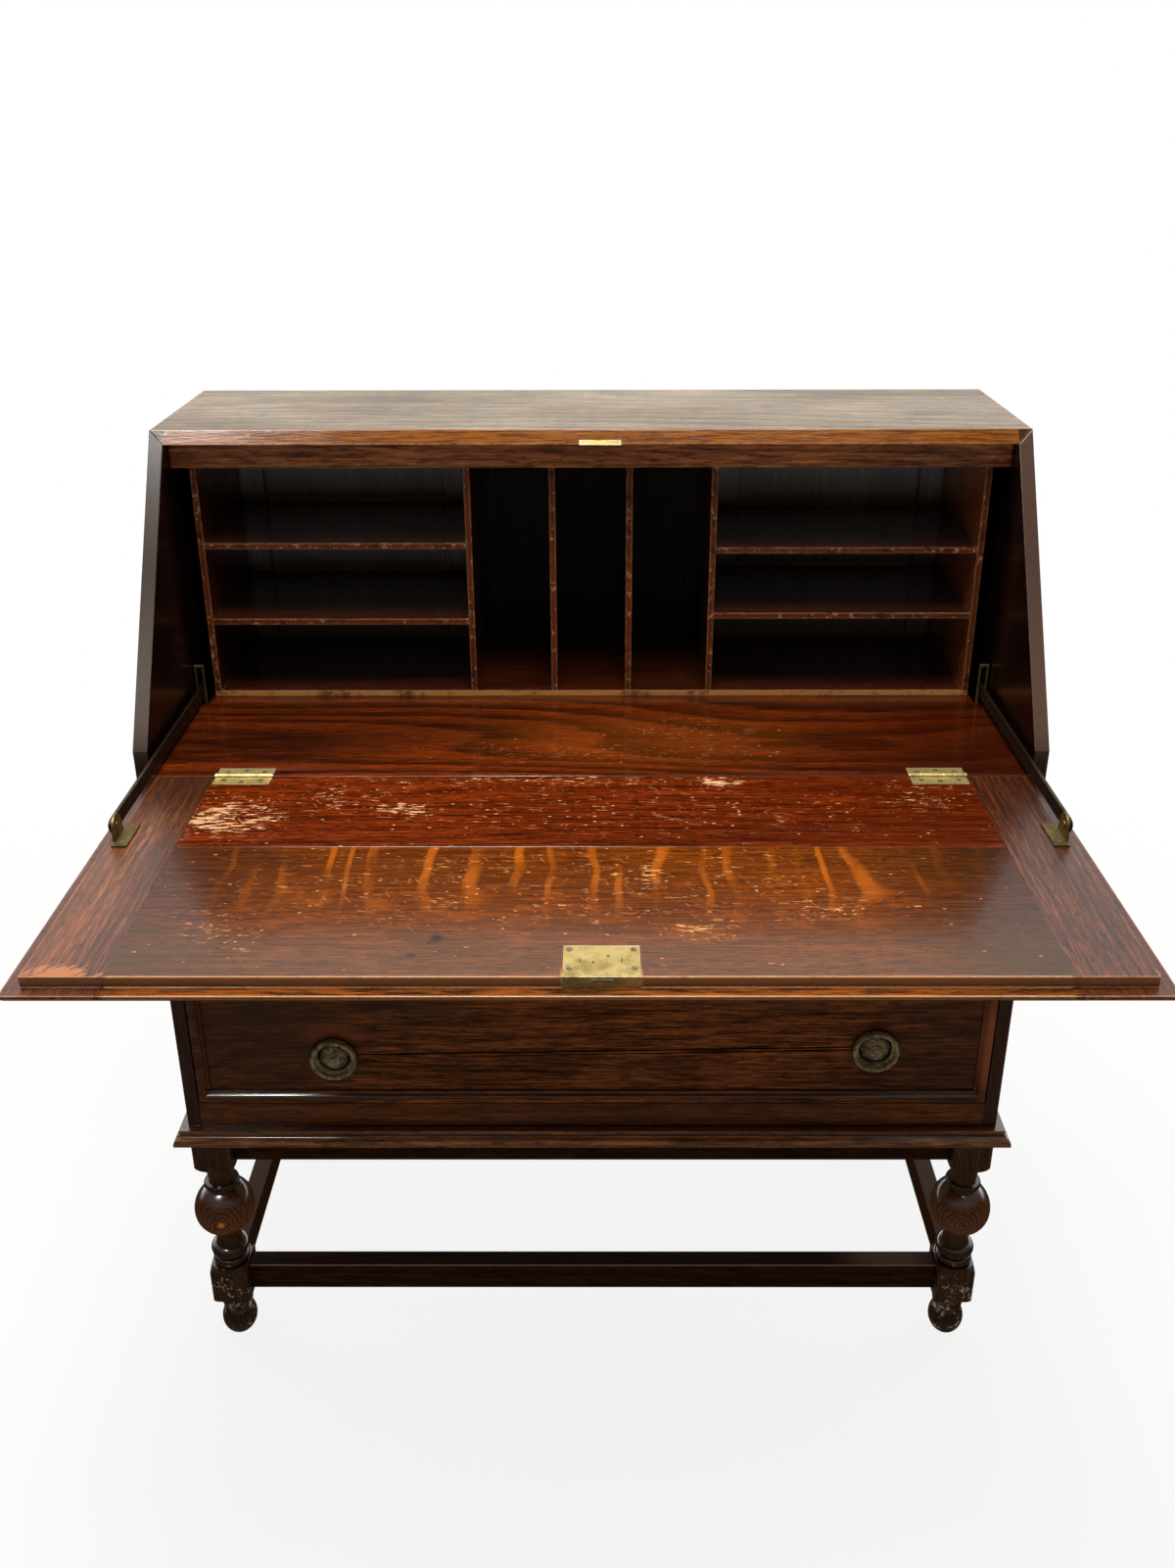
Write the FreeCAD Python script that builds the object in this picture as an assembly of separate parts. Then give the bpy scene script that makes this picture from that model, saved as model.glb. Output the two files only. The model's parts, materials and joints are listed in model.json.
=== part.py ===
import FreeCAD, Part
import math
import os

V = FreeCAD.Vector
X_AXIS = V(1, 0, 0)
Y_AXIS = V(0, 1, 0)
Z_AXIS = V(0, 0, 1)

# Driving dimensions in millimetres. Lengths along Y count back from the carcass's front plane.
WIDTH = 915.0
DEPTH = 390.0
HEIGHT = 1084.0
SIDE_T = 15.0
TOP_T = 14.0
TOP_FRONT_Y = 177.0      # the top's front edge
BEND_Z = 800.0           # the side's front edge turns from upright to sloping here
CARCASS_Z = 329.0        # the carcass stands on the base moulding at this height
BED_Z = 775.0            # writing height
BED_T = 18.0

# Drop front
STEP = 9.5               # from the writing face down to the lip
FALL_T = 18.0
LIP_SIDE = 13.0
LIP_FRONT = 12.0
LIP_EDGE = 2.5           # thickness of the lip's outer edge
SEAT_GAP = 0.3           # lip to sloping edge when shut
TOP_GAP = 0.6            # shut drop front to the top's underside
FALL_HALF = 441.0
STILE_IN = 376.5
BOARD_JOINT = 141.0      # the two boards meet this far in front of the hinge

# Hinges
HINGE_X = 347.0
HINGE_LEN = 56.0
LEAF_W = 17.5
LEAF_T = 1.6
KNUCKLE_R = 3.2
HINGE_PIN_R = 1.5
RUN_GAP = 0.05           # radial clearance of a running fit

# Stays
PIVOT_OUT = 125.0        # stay pivot in front of the hinge line
PIVOT_UP = 14.0
KEEPER_BACK = 180.0      # keeper behind the hinge line
KEEPER_OPEN = 44.0
BAR_X = 434.4
BAR_T = 3.0
BAR_H = 14.0
BAR_TAIL = 14.0          # bar behind the keeper
SLOT_END_Y = 296.0       # back end of the slot in the bed that the bar drops through
RIVET_R = 2.5

# Lock
LOCK_X = 10.0
LOCK_W = 61.0
LOCK_D = 42.0
PLATE_T = 1.8
BOLT_W = 16.0
BOLT_T = 3.5
BOLT_TOP = 2.6           # bolt below the writing face
BOLT_THROW = 6.0
STRIKE_W = 43.0

# Drawers, from the bottom up
DRAWER_HEIGHTS = (151.0, 117.0, 96.0)
DRAWER_NAMES = ("lower", "middle", "upper")
BOTTOM_RAIL_H = 32.0
BOTTOM_RAIL_D = 26.0
RAIL_H = 16.0
RAIL_D = 45.0
RUNNER_IN = 404.0        # inner edge of the runners
GUIDE_END_Y = 280.0
FRONT_BACK_SET = 7.0     # the drawer front lies this far behind the carcass's front plane
FRONT_T = 18.0
MOULD_W = 12.5
BOX_HALF = 424.0
BOX_T = 10.0
BOX_BACK_Y = 345.0
PULL_X = (-286.0, 314.0)
PULL_DROP = (16.0, 5.0)  # each pull below the middle of its drawer, where the drawer is deep enough
PULL_CLEAR = 29.0        # from a pull's centre to the moulding below it
RING_R = 23.4
RING_WIRE_R = 2.6

# Fitment
FIT_FRONT_Y = 196.0
FIT_BACK_Y = 366.0
FIT_HALF = 427.0
FIT_T = 7.0
DIVIDER_X = (-132.5, -41.5, 41.5, 132.5)
SHELF_TOPS = {-1: (956.0, 868.5), 1: (950.5, 875.0)}

# Stand
BASE_T = 19.0
BASE_OUT = 15.0
LEG_W = 44.0
LEG_X = 436.0
APRON_H = 42.0
APRON_T = 18.0
STRETCHER_T = 22.0
STRETCHER_Z = (72.0, 108.0)
BALL_R = 35.0
BALL_Z = 193.0

half = WIDTH / 2
inner = half - SIDE_T
slope = math.atan2(HEIGHT - BEND_Z, TOP_FRONT_Y)
along = V(0, math.cos(slope), math.sin(slope))
outward = V(0, -math.sin(slope), math.cos(slope))
hinge_y = (STEP - SEAT_GAP - along.y * (BEND_Z - BED_Z)) / along.z
hinge = V(0, hinge_y, BED_Z)
under_top = HEIGHT - TOP_T
fall_len = (under_top - TOP_GAP - BED_Z - STEP * along.y) / along.z
fall_edge_y = hinge_y - fall_len
lip_y = fall_edge_y - LIP_FRONT
base_z = CARCASS_Z - BASE_T
rear_y = DEPTH - LEG_W / 2 + BALL_R
frame_shift = V(0, -(lip_y + rear_y) / 2, 0)


def box(x, y, z):
    return Part.makeBox(x[1] - x[0], y[1] - y[0], z[1] - z[0], V(x[0], y[0], z[0]))


def cylinder(start, axis, radius, length):
    return Part.makeCylinder(radius, length, start, axis)


def face_of(points):
    return Part.Face(Part.makePolygon(points + [points[0]]))


def prism_x(outline, low, high):
    """A solid from an outline of (y, z) points, between two x values."""
    return face_of([V(low, y, z) for y, z in outline]).extrude(V(high - low, 0, 0))


def prism_y(outline, low, high):
    return face_of([V(x, low, z) for x, z in outline]).extrude(V(0, high - low, 0))


def prism_z(outline, low, high):
    return face_of([V(x, y, low) for x, y in outline]).extrude(V(0, 0, high - low))


def chain(steps):
    """A closed wire in the XZ plane: a step is a point, or a pair of a point on an arc and its end."""
    edges = []
    here = V(steps[0][0], 0, steps[0][1])
    first = here
    for step in steps[1:]:
        if isinstance(step[0], tuple):
            through = V(step[0][0], 0, step[0][1])
            end = V(step[1][0], 0, step[1][1])
            edges.append(Part.Arc(here, through, end).toShape())
        else:
            end = V(step[0], 0, step[1])
            edges.append(Part.LineSegment(here, end).toShape())
        here = end
    edges.append(Part.LineSegment(here, first).toShape())
    return Part.Wire(edges)


def revolve(steps):
    return Part.Face(chain(steps)).revolve(V(0, 0, 0), Z_AXIS, 360)


def mirrored(shape):
    return shape.mirror(V(0, 0, 0), X_AXIS)


def both_sides(shape):
    return [mirrored(shape), shape]


def save(node, *solids):
    shape = solids[0] if len(solids) == 1 else Part.makeCompound(list(solids))
    shape = shape.copy()
    shape.translate(frame_shift)
    shape.exportStep("parts/%s.step" % node)


def on_slope(length, out):
    """A (y, z) point of the shut drop front: length up from the hinge, out from its writing face."""
    point = hinge + along * length + outward * out
    return (point.y, point.z)


def side_panel():
    outline = [(0, CARCASS_Z), (0, BEND_Z), (TOP_FRONT_Y, HEIGHT), (DEPTH, HEIGHT), (DEPTH, CARCASS_Z)]
    panel = prism_x(outline, inner, half)
    mitre = prism_y([(inner, under_top), (half, HEIGHT), (inner, HEIGHT)], -1, DEPTH + 1)
    return panel.cut(mitre)


def bolt_path(clearance):
    near = BOLT_TOP - clearance
    far = BOLT_TOP + BOLT_T + clearance
    start = fall_len - 2
    end = fall_len + BOLT_THROW + 2
    outline = [on_slope(start, near), on_slope(end, near), on_slope(end, far), on_slope(start, far)]
    reach = BOLT_W / 2 + clearance
    return prism_x(outline, LOCK_X - reach, LOCK_X + reach)


def top_and_strike():
    section = [(-half, HEIGHT), (half, HEIGHT), (inner, under_top), (-inner, under_top)]
    low_y = TOP_FRONT_Y - TOP_T / math.tan(slope)
    board = prism_y(section, low_y - 1, DEPTH)
    bevel = [(low_y - 2, under_top - 1), (low_y - 1 / math.tan(slope), under_top - 1)]
    bevel += [(TOP_FRONT_Y + 1 / math.tan(slope), HEIGHT + 1), (low_y - 2, HEIGHT + 1)]
    board = board.cut(prism_x(bevel, -half - 1, half + 1))
    corner = V(0, low_y, under_top)
    leg_t = 1.2
    leaf_t = 1.5
    leg_end = corner + along * 5
    inner_y = low_y + leg_t / along.z + leaf_t / math.tan(slope)
    outline = [(corner.y, corner.z), (leg_end.y, leg_end.z)]
    outline += [(leg_end.y - leg_t * outward.y, leg_end.z - leg_t * outward.z)]
    outline += [(inner_y, under_top + leaf_t), (low_y + 11, under_top + leaf_t), (low_y + 11, under_top)]
    strike = prism_x(outline, LOCK_X - STRIKE_W / 2, LOCK_X + STRIKE_W / 2)
    mortise = bolt_path(0.5)
    return board.cut(strike).cut(mortise), strike.cut(mortise)


def leaf_pocket(direction):
    near = hinge_y if direction > 0 else hinge_y - LEAF_W
    pocket = box((-HINGE_LEN / 2, HINGE_LEN / 2), (near, near + LEAF_W), (BED_Z - LEAF_T, BED_Z + 1))
    barrel = KNUCKLE_R + 0.3
    groove = box((-HINGE_LEN / 2 - 1.5, HINGE_LEN / 2 + 1.5), (hinge_y - barrel, hinge_y + barrel),
                 (BED_Z - barrel, BED_Z + 1))
    pocket = pocket.fuse(groove)
    pocket.translate(V(HINGE_X, 0, 0))
    return both_sides(pocket)


def hinge_leaf(direction, knuckles):
    """One leaf of a five-knuckle butt hinge, centred on x = 0, with the knuckles named by number."""
    step = HINGE_LEN / 5
    near = hinge_y if direction > 0 else hinge_y - LEAF_W
    leaf = box((-HINGE_LEN / 2, HINGE_LEN / 2), (near, near + LEAF_W), (BED_Z - LEAF_T, BED_Z))
    for number in range(5):
        start = -HINGE_LEN / 2 + number * step
        if number in knuckles:
            leaf = leaf.fuse(cylinder(V(start + 0.1, hinge_y, BED_Z), X_AXIS, KNUCKLE_R, step - 0.2))
        else:
            leaf = leaf.cut(cylinder(V(start - 0.1, hinge_y, BED_Z), X_AXIS, KNUCKLE_R + 0.3, step + 0.2))
    bore = cylinder(V(-HINGE_LEN / 2 - 1, hinge_y, BED_Z), X_AXIS, HINGE_PIN_R + RUN_GAP, HINGE_LEN + 2)
    leaf = leaf.cut(bore)
    leaf.translate(V(HINGE_X, 0, 0))
    return leaf


def hinge_pin():
    end = HINGE_LEN / 2
    pin = cylinder(V(-end, hinge_y, BED_Z), X_AXIS, HINGE_PIN_R, 2 * end)
    for start in (-end - 1, end):
        pin = pin.fuse(cylinder(V(start, hinge_y, BED_Z), X_AXIS, HINGE_PIN_R + 0.7, 1))
    pin.translate(V(HINGE_X, 0, 0))
    return pin


def bed():
    board = box((-inner, inner), (hinge_y + 0.15, FIT_BACK_Y), (BED_Z - BED_T, BED_Z))
    slot_y = (hinge_y + KEEPER_BACK + 3.5, SLOT_END_Y)
    slot = box((BAR_X - 5, inner), slot_y, (BED_Z - BED_T, BED_Z))
    return board.cut(both_sides(slot) + leaf_pocket(1))


def fall_blank():
    """The whole drop front: a writing layer with square edges on a wider layer with moulded edges."""
    top = BED_Z
    lip_z = BED_Z - STEP
    low = BED_Z - FALL_T
    rear = hinge_y - 0.15
    wide = FALL_HALF + LIP_SIDE
    ease = LIP_SIDE - 2
    swell = 0.3 * (lip_z - LIP_EDGE - low)
    cross = [(-wide, lip_z), (wide, lip_z), (wide, lip_z - LIP_EDGE)]
    cross += [((wide - 0.35 * ease, low + swell), (wide - ease, low)), (ease - wide, low)]
    cross += [((0.35 * ease - wide, low + swell), (-wide, lip_z - LIP_EDGE))]
    plan = Part.Face(chain(cross)).extrude(V(0, rear - lip_y, 0))
    plan.translate(V(0, lip_y, 0))
    length = [(lip_y, lip_z), (rear, lip_z), (rear, low), (lip_y + ease, low)]
    length += [((lip_y + 0.35 * ease, low + swell), (lip_y, lip_z - LIP_EDGE))]
    run = Part.Face(chain(length)).extrude(V(0, 2 * wide, 0))
    run.rotate(V(0, 0, 0), Z_AXIS, 90)
    run.translate(V(wide, 0, 0))
    writing = box((-FALL_HALF, FALL_HALF), (fall_edge_y, rear), (lip_z, top))
    return plan.common(run).fuse(writing).removeSplitter()


def lock_parts():
    front = fall_edge_y
    x0 = LOCK_X - LOCK_W / 2
    x1 = LOCK_X + LOCK_W / 2
    plate = box((x0, x1), (front, front + LOCK_D), (BED_Z - PLATE_T, BED_Z))
    plate = plate.fuse(box((x0, x1), (front, front + PLATE_T), (BED_Z - STEP, BED_Z)))
    case = box((LOCK_X - 22, LOCK_X + 22), (front + PLATE_T, front + 34), (BED_Z - STEP, BED_Z - PLATE_T))
    bolt_z = (BED_Z - BOLT_TOP - BOLT_T, BED_Z - BOLT_TOP)
    bolt = box((LOCK_X - BOLT_W / 2, LOCK_X + BOLT_W / 2), (front, front + 24), bolt_z)
    gap = 0.2
    way = box((LOCK_X - BOLT_W / 2 - gap, LOCK_X + BOLT_W / 2 + gap), (front - 1, front + 26),
              (bolt_z[0] - gap, bolt_z[1] + gap))
    seat = plate.fuse(case)
    return seat, plate.cut(way), case.cut(way), bolt


def keyhole(low, high):
    centre = V(LOCK_X, fall_edge_y + 26, low)
    slot = box((LOCK_X - 1.3, LOCK_X + 1.3), (centre.y - 7, centre.y), (low, high))
    return cylinder(centre, Z_AXIS, 2.6, high - low).fuse(slot)


def escutcheon():
    low = BED_Z - FALL_T
    disc = cylinder(V(LOCK_X, fall_edge_y + 24, low), Z_AXIS, 11, 1.2)
    return disc, disc.cut(keyhole(low - 1, low + 3))


def drop_front():
    seat, plate, case, bolt = lock_parts()
    disc, plate_outside = escutcheon()
    joint_y = hinge_y - BOARD_JOINT
    reach = FALL_HALF + LIP_SIDE + 1
    deep = (BED_Z - FALL_T - 1, BED_Z + 1)
    hole = keyhole(BED_Z - FALL_T - 1, BED_Z - STEP)
    blank = fall_blank().cut([seat, disc, hole] + leaf_pocket(-1))
    stile = blank.common(box((STILE_IN, reach), (lip_y - 1, hinge_y + 1), deep))
    save("fall_stile_left", blank.common(box((-reach, -STILE_IN), (lip_y - 1, hinge_y + 1), deep)))
    save("fall_stile_right", stile)
    save("fall_board_rear", blank.common(box((-STILE_IN, STILE_IN), (joint_y, hinge_y + 1), deep)))
    save("fall_board_front", blank.common(box((-STILE_IN, STILE_IN), (lip_y - 1, joint_y), deep)))
    save("lock_plate", plate)
    save("lock_case", case)
    save("lock_bolt", bolt)
    save("keyhole_escutcheon", plate_outside)


def stay_bracket():
    pivot = V(0, hinge_y - PIVOT_OUT, BED_Z + PIVOT_UP)
    ear_r = 11.0
    ear_x = BAR_X - 0.4
    plate = box((ear_x - 14, ear_x), (pivot.y - 17, pivot.y + 24), (BED_Z, BED_Z + 2))
    ear = prism_x([(pivot.y - ear_r, BED_Z), (pivot.y + ear_r + 4, BED_Z), (pivot.y + ear_r, pivot.z),
                   (pivot.y - ear_r, pivot.z)], ear_x - 2, ear_x)
    crown = cylinder(V(ear_x - 2, pivot.y, pivot.z), X_AXIS, ear_r, 2)
    hole = cylinder(V(ear_x - 3, pivot.y, pivot.z), X_AXIS, RIVET_R, 4)
    return plate.fuse([ear, crown]).cut(hole).removeSplitter()


def stay_pivot():
    pivot = V(BAR_X - 2.4, hinge_y - PIVOT_OUT, BED_Z + PIVOT_UP)
    shank = cylinder(pivot, X_AXIS, RIVET_R, BAR_T + 2.7)
    inner_head = cylinder(pivot - V(1, 0, 0), X_AXIS, RIVET_R + 1.5, 1)
    outer_head = cylinder(pivot + V(BAR_T + 2.7, 0, 0), X_AXIS, RIVET_R + 2, 1.2)
    return shank.fuse([inner_head, outer_head])


def stay_bar():
    centre_z = BED_Z + PIVOT_UP
    front = hinge_y - PIVOT_OUT
    back = hinge_y + KEEPER_BACK + BAR_TAIL - BAR_H / 2
    bar = box((BAR_X, BAR_X + BAR_T), (front, back), (centre_z - BAR_H / 2, centre_z + BAR_H / 2))
    ends = [cylinder(V(BAR_X, y, centre_z), X_AXIS, BAR_H / 2, BAR_T) for y in (front, back)]
    hole = cylinder(V(BAR_X - 1, front, centre_z), X_AXIS, RIVET_R + RUN_GAP, BAR_T + 2)
    pin_r = 2.0
    stop_y = hinge_y + KEEPER_BACK + 2 + pin_r + 0.3
    stop = cylinder(V(BAR_X + BAR_T / 2 - 4.5, stop_y, centre_z), X_AXIS, pin_r, 9)
    return bar.fuse(ends).cut(hole).fuse(stop).removeSplitter()


def stay_keeper():
    """A staple on the bed, tall enough for the bar's tilt while the drop front swings."""
    middle = BAR_X + BAR_T / 2
    gap = 3.2
    wall = 1.8
    y = hinge_y + KEEPER_BACK
    top = BED_Z + KEEPER_OPEN + 2.5
    arch = box((middle - gap - wall, middle + gap + wall), (y - 2, y + 2), (BED_Z, top))
    return arch.cut(box((middle - gap, middle + gap), (y - 3, y + 3), (BED_Z, BED_Z + KEEPER_OPEN)))


def frame_strip(length):
    """A strip of the moulding round a drawer front: outer edge low, mitred at both ends."""
    deep = FRONT_BACK_SET
    low = 4.8
    profile = [(0, 0), (0, 3.5), ((1.2, 7.6), (4.2, 9.5)), (low, 10.2), (low, MOULD_W)]
    profile += [(deep, MOULD_W), (deep, 0)]
    strip = Part.Face(chain(profile)).extrude(V(0, length, 0))
    strip.rotate(V(0, 0, 0), Z_AXIS, -90)
    strip = strip.mirror(V(0, 0, 0), Y_AXIS)
    strip.translate(V(-length / 2, 0, 0))
    corner = length / 2 - MOULD_W
    mitre = [(-length / 2, 0), (length / 2, 0), (corner, MOULD_W), (-corner, MOULD_W)]
    return strip.common(prism_y(mitre, 0, deep))


def drawer_moulding(low, high):
    width = 2 * (inner - 1.5)
    tall = high - low
    middle = V(0, 0, (low + high) / 2)
    strips = []
    for turn in (0, 90, 180, 270):
        across = turn % 180 == 0
        strip = frame_strip(width if across else tall)
        strip.translate(V(0, 0, -(tall if across else width) / 2))
        strip.rotate(V(0, 0, 0), Y_AXIS, turn)
        strip.translate(middle)
        strips.append(strip)
    return strips


def pull_plate(centre):
    """A turned rosette with a domed boss, an eye for the ring at its top, and its bolt and nut."""
    edge = 24.5
    steps = [(0, 0), (edge, 0), (edge, 2.4), ((edge - 1.8, 4.3), (edge - 3.6, 2.6)), (19.0, 2.2)]
    boss_r = 8.0
    boss_z = 4.0
    boss_rise = 4.4
    dome_r = (boss_r ** 2 + boss_rise ** 2) / (2 * boss_rise)
    on_dome = boss_z + boss_rise - dome_r + math.sqrt(dome_r ** 2 - boss_r ** 2 / 4)
    steps += [((13.0, 4.4), (boss_r + 1, 2.4)), (boss_r, boss_z)]
    steps += [((boss_r / 2, on_dome), (0, boss_z + boss_rise))]
    rosette = revolve(steps)
    rosette.rotate(V(0, 0, 0), X_AXIS, 90)
    wire_y = -(2 * RING_WIRE_R + 2.4)
    lug = prism_x([(0, RING_R - 4), (0, RING_R + 4.6), (wire_y - 2, RING_R + 4.6), (wire_y - 4.6, RING_R + 2),
                   (wire_y - 4.6, RING_R - 2), (wire_y - 2, RING_R - 4)], -3, 3)
    eye = cylinder(V(-4, wire_y, RING_R), X_AXIS, RING_WIRE_R + 0.5, 8)
    shank_r = 2.5
    shank = cylinder(V(0, -1, 0), Y_AXIS, shank_r, FRONT_T + 7)
    plate = rosette.fuse([lug, shank]).cut(eye).removeSplitter()
    nut_start = V(0, FRONT_T, 0)
    corners = [(7 * math.cos(math.radians(60 * k)), 7 * math.sin(math.radians(60 * k))) for k in range(6)]
    nut = prism_y(corners, nut_start.y, nut_start.y + 4).cut(cylinder(nut_start, Y_AXIS, shank_r, 5))
    for solid in (plate, nut):
        solid.translate(centre)
    return [plate, nut]


def pull_ring(centre):
    ring = Part.makeTorus(RING_R, RING_WIRE_R, V(0, 0, 0), Y_AXIS)
    ring.translate(centre + V(0, -(2 * RING_WIRE_R + 2.4), 0))
    return ring


def drawer(name, low, high):
    face_y = FRONT_BACK_SET
    back_y = face_y + FRONT_T
    front_low = low + 1
    front_high = high - 1
    front = box((1.5 - inner, inner - 1.5), (face_y, back_y), (front_low, front_high))
    middle = (low + high) / 2
    room = middle - low - MOULD_W - PULL_CLEAR
    pulls = [V(x, face_y, middle - min(drop, room)) for x, drop in zip(PULL_X, PULL_DROP)]
    holes = [cylinder(centre, Y_AXIS, 2.6, FRONT_T) for centre in pulls]
    side = box((BOX_HALF - BOX_T, BOX_HALF), (back_y, BOX_BACK_Y), (low + 2, high - 8))
    in_half = BOX_HALF - BOX_T
    floor_z = (low + 11, low + 16)
    back = box((-in_half, in_half), (BOX_BACK_Y - BOX_T, BOX_BACK_Y), (floor_z[1], high - 12))
    save("drawer_front_" + name, front.cut(holes))
    save("drawer_moulding_" + name, *drawer_moulding(front_low, front_high))
    save("drawer_box_" + name, *(both_sides(side) + [back]))
    save("drawer_bottom_" + name, box((-in_half, in_half), (back_y, BOX_BACK_Y), floor_z))
    save("pull_plates_" + name, *(pull_plate(pulls[0]) + pull_plate(pulls[1])))
    save("pull_ring_left_" + name, pull_ring(pulls[0]))
    save("pull_ring_right_" + name, pull_ring(pulls[1]))


def drawer_stack():
    """Three drawers that get shallower upwards, with the rails, runners and guides that carry them."""
    rails = []
    runners = []
    guides = []
    low = CARCASS_Z + BOTTOM_RAIL_H
    rail_back = BOTTOM_RAIL_D
    bottom_rail = box((-inner, inner), (0, rail_back), (CARCASS_Z, low))
    save("bottom_rail", bottom_rail)
    for name, tall in zip(DRAWER_NAMES, DRAWER_HEIGHTS):
        drawer(name, low, low + tall)
        rest_z = low + 1.7
        runners += both_sides(box((RUNNER_IN, inner), (rail_back, FIT_BACK_Y), (rest_z - RAIL_H, rest_z)))
        guides += both_sides(box((BOX_HALF + 1, inner), (rail_back + 25, GUIDE_END_Y), (rest_z, rest_z + 10)))
        low += tall
        if name != DRAWER_NAMES[-1]:
            rail_back = RAIL_D
            rails.append(box((-inner, inner), (0, rail_back), (low, low + RAIL_H)))
            low += RAIL_H
    save("drawer_rails", *rails)
    save("drawer_runners", *runners)
    save("drawer_guides", *guides)


def framed_back():
    """Stiles, rails and two muntins round three thin panels that lie in rebates cut from behind."""
    frame_t = 16.0
    stile = 50.0
    rail = 60.0
    y = (FIT_BACK_Y, FIT_BACK_Y + frame_t)
    stile_in = inner - stile
    rows = ((CARCASS_Z, CARCASS_Z + rail), (under_top - rail, under_top))
    between = (rows[0][1], rows[1][0])
    muntin = (117.0, 177.0)
    lap = 8.0
    panel_y = (y[1] - 6, y[1])
    panel_z = (between[0] - lap, between[1] + lap)
    centre = box((-muntin[0] - lap, muntin[0] + lap), panel_y, panel_z)
    outer = box((muntin[1] - lap, stile_in + lap), panel_y, panel_z)
    panels = [centre] + both_sides(outer)
    frame = both_sides(box((stile_in, inner), y, (CARCASS_Z, under_top)))
    frame += [box((-stile_in, stile_in), y, row) for row in rows]
    frame += both_sides(box(muntin, y, between))
    save("back_frame", *[piece.cut(panels) for piece in frame])
    save("back_panels", *panels)


def fitment():
    """Stationery fitment: three upright slots between two stacks of pigeonholes."""
    y = (FIT_FRONT_Y, FIT_BACK_Y)
    floor = BED_Z + FIT_T
    in_half = FIT_HALF - FIT_T
    uprights = both_sides(box((in_half, FIT_HALF), y, (BED_Z, under_top)))
    for x in DIVIDER_X:
        uprights.append(box((x - FIT_T / 2, x + FIT_T / 2), y, (floor, under_top)))
    shelves = []
    stack = sorted((DIVIDER_X[-1] + FIT_T / 2, in_half))
    for side, tops in SHELF_TOPS.items():
        for top in tops:
            shelves.append(box(sorted(side * x for x in stack), y, (top - FIT_T, top)))
    save("fitment_bottom", box((-in_half, in_half), y, (BED_Z, floor)))
    save("fitment_uprights", *uprights)
    save("fitment_shelves", *shelves)
    save("header_rail", box((-inner, inner), (FIT_FRONT_Y - 12, FIT_FRONT_Y), (under_top - 28, under_top)))


def moulded_board(length):
    """A board of the base along X, its moulded edge facing the front at y = -BASE_OUT."""
    z0 = base_z
    out = BASE_OUT
    section = [(LEG_W, CARCASS_Z), (LEG_W, z0), (2 - out, z0), ((0.6 - out, z0 + 0.6), (-out, z0 + 2.5))]
    section += [(-out, z0 + 4.5), ((1.4 - out, z0 + 8), (5 - out, z0 + 11.5)), (5 - out, z0 + 13.5)]
    section += [(6.5 - out, z0 + 13.5), (6.5 - out, CARCASS_Z)]
    board = Part.Face(chain(section)).extrude(V(0, -length, 0))
    board.rotate(V(0, 0, 0), Z_AXIS, 90)
    return board


def base_moulding():
    """Four boards under the carcass, the front and ends moulded and mitred at the front corners."""
    wide = half + BASE_OUT
    in_x = half - LEG_W
    z = (base_z, CARCASS_Z)
    front = moulded_board(2 * wide)
    front.translate(V(-wide, 0, 0))
    front = front.common(prism_z([(-wide, -BASE_OUT), (wide, -BASE_OUT), (in_x, LEG_W), (-in_x, LEG_W)], *z))
    end = moulded_board(DEPTH + BASE_OUT)
    end.rotate(V(0, 0, 0), Z_AXIS, 90)
    end.translate(V(half, -BASE_OUT, 0))
    end = end.common(prism_z([(wide, -BASE_OUT), (wide, DEPTH), (in_x, DEPTH), (in_x, LEG_W)], *z))
    back = box((-in_x, in_x), (DEPTH - LEG_W, DEPTH), z)
    save("base_moulding", front, *both_sides(end), back)


def leg(x, y):
    """A turned leg between square blocks: bun foot, rings, a large ball, a collar and a cove."""
    foot = [(0, 0), (13, 0), ((20.8, 18), (14.5, 36.5)), (14.5, 39), ((18.2, 45), (14.5, 51)), (14.5, 55)]
    foot += [((16.5, 59.5), (21, 62)), (21, 64), (0, 64)]
    meet = 17.0
    low_ball = BALL_Z - math.sqrt(BALL_R ** 2 - meet ** 2)
    high_ball = BALL_Z + math.sqrt(BALL_R ** 2 - meet ** 2)
    shaft = [(0, 110), (17, 110), (17, 112.5), ((21.3, 117.5), (17, 122.5)), (17, 124)]
    shaft += [((22.3, 131.5), (16.5, 139.5)), ((14.6, 148), (meet, low_ball))]
    shaft += [((BALL_R, BALL_Z), (meet, high_ball)), (19.3, high_ball + 3)]
    shaft += [((20.3, high_ball + 6.5), (18.8, high_ball + 10)), (15.5, high_ball + 11)]
    shaft += [((15.2, high_ball + 20), (20.5, 261)), (20.5, 264), (0, 264)]
    top = base_z
    block_limit = [(0, 60), (25, 60), ((30.2, 61.5), (32, 66)), (32, 106), (24.5, 112.5), (0, 112.5)]
    head_limit = [(0, 261), (20.5, 261), ((28.6, 264), (32, 271)), (32, top), (0, top)]
    side = LEG_W / 2
    block = box((-side, side), (-side, side), (60, 112.5)).common(revolve(block_limit))
    head = box((-side, side), (-side, side), (261, top)).common(revolve(head_limit))
    solid = revolve(shaft).fuse([revolve(foot), block, head])
    solid.translate(V(x, y, 0))
    return solid.removeSplitter()


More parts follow.
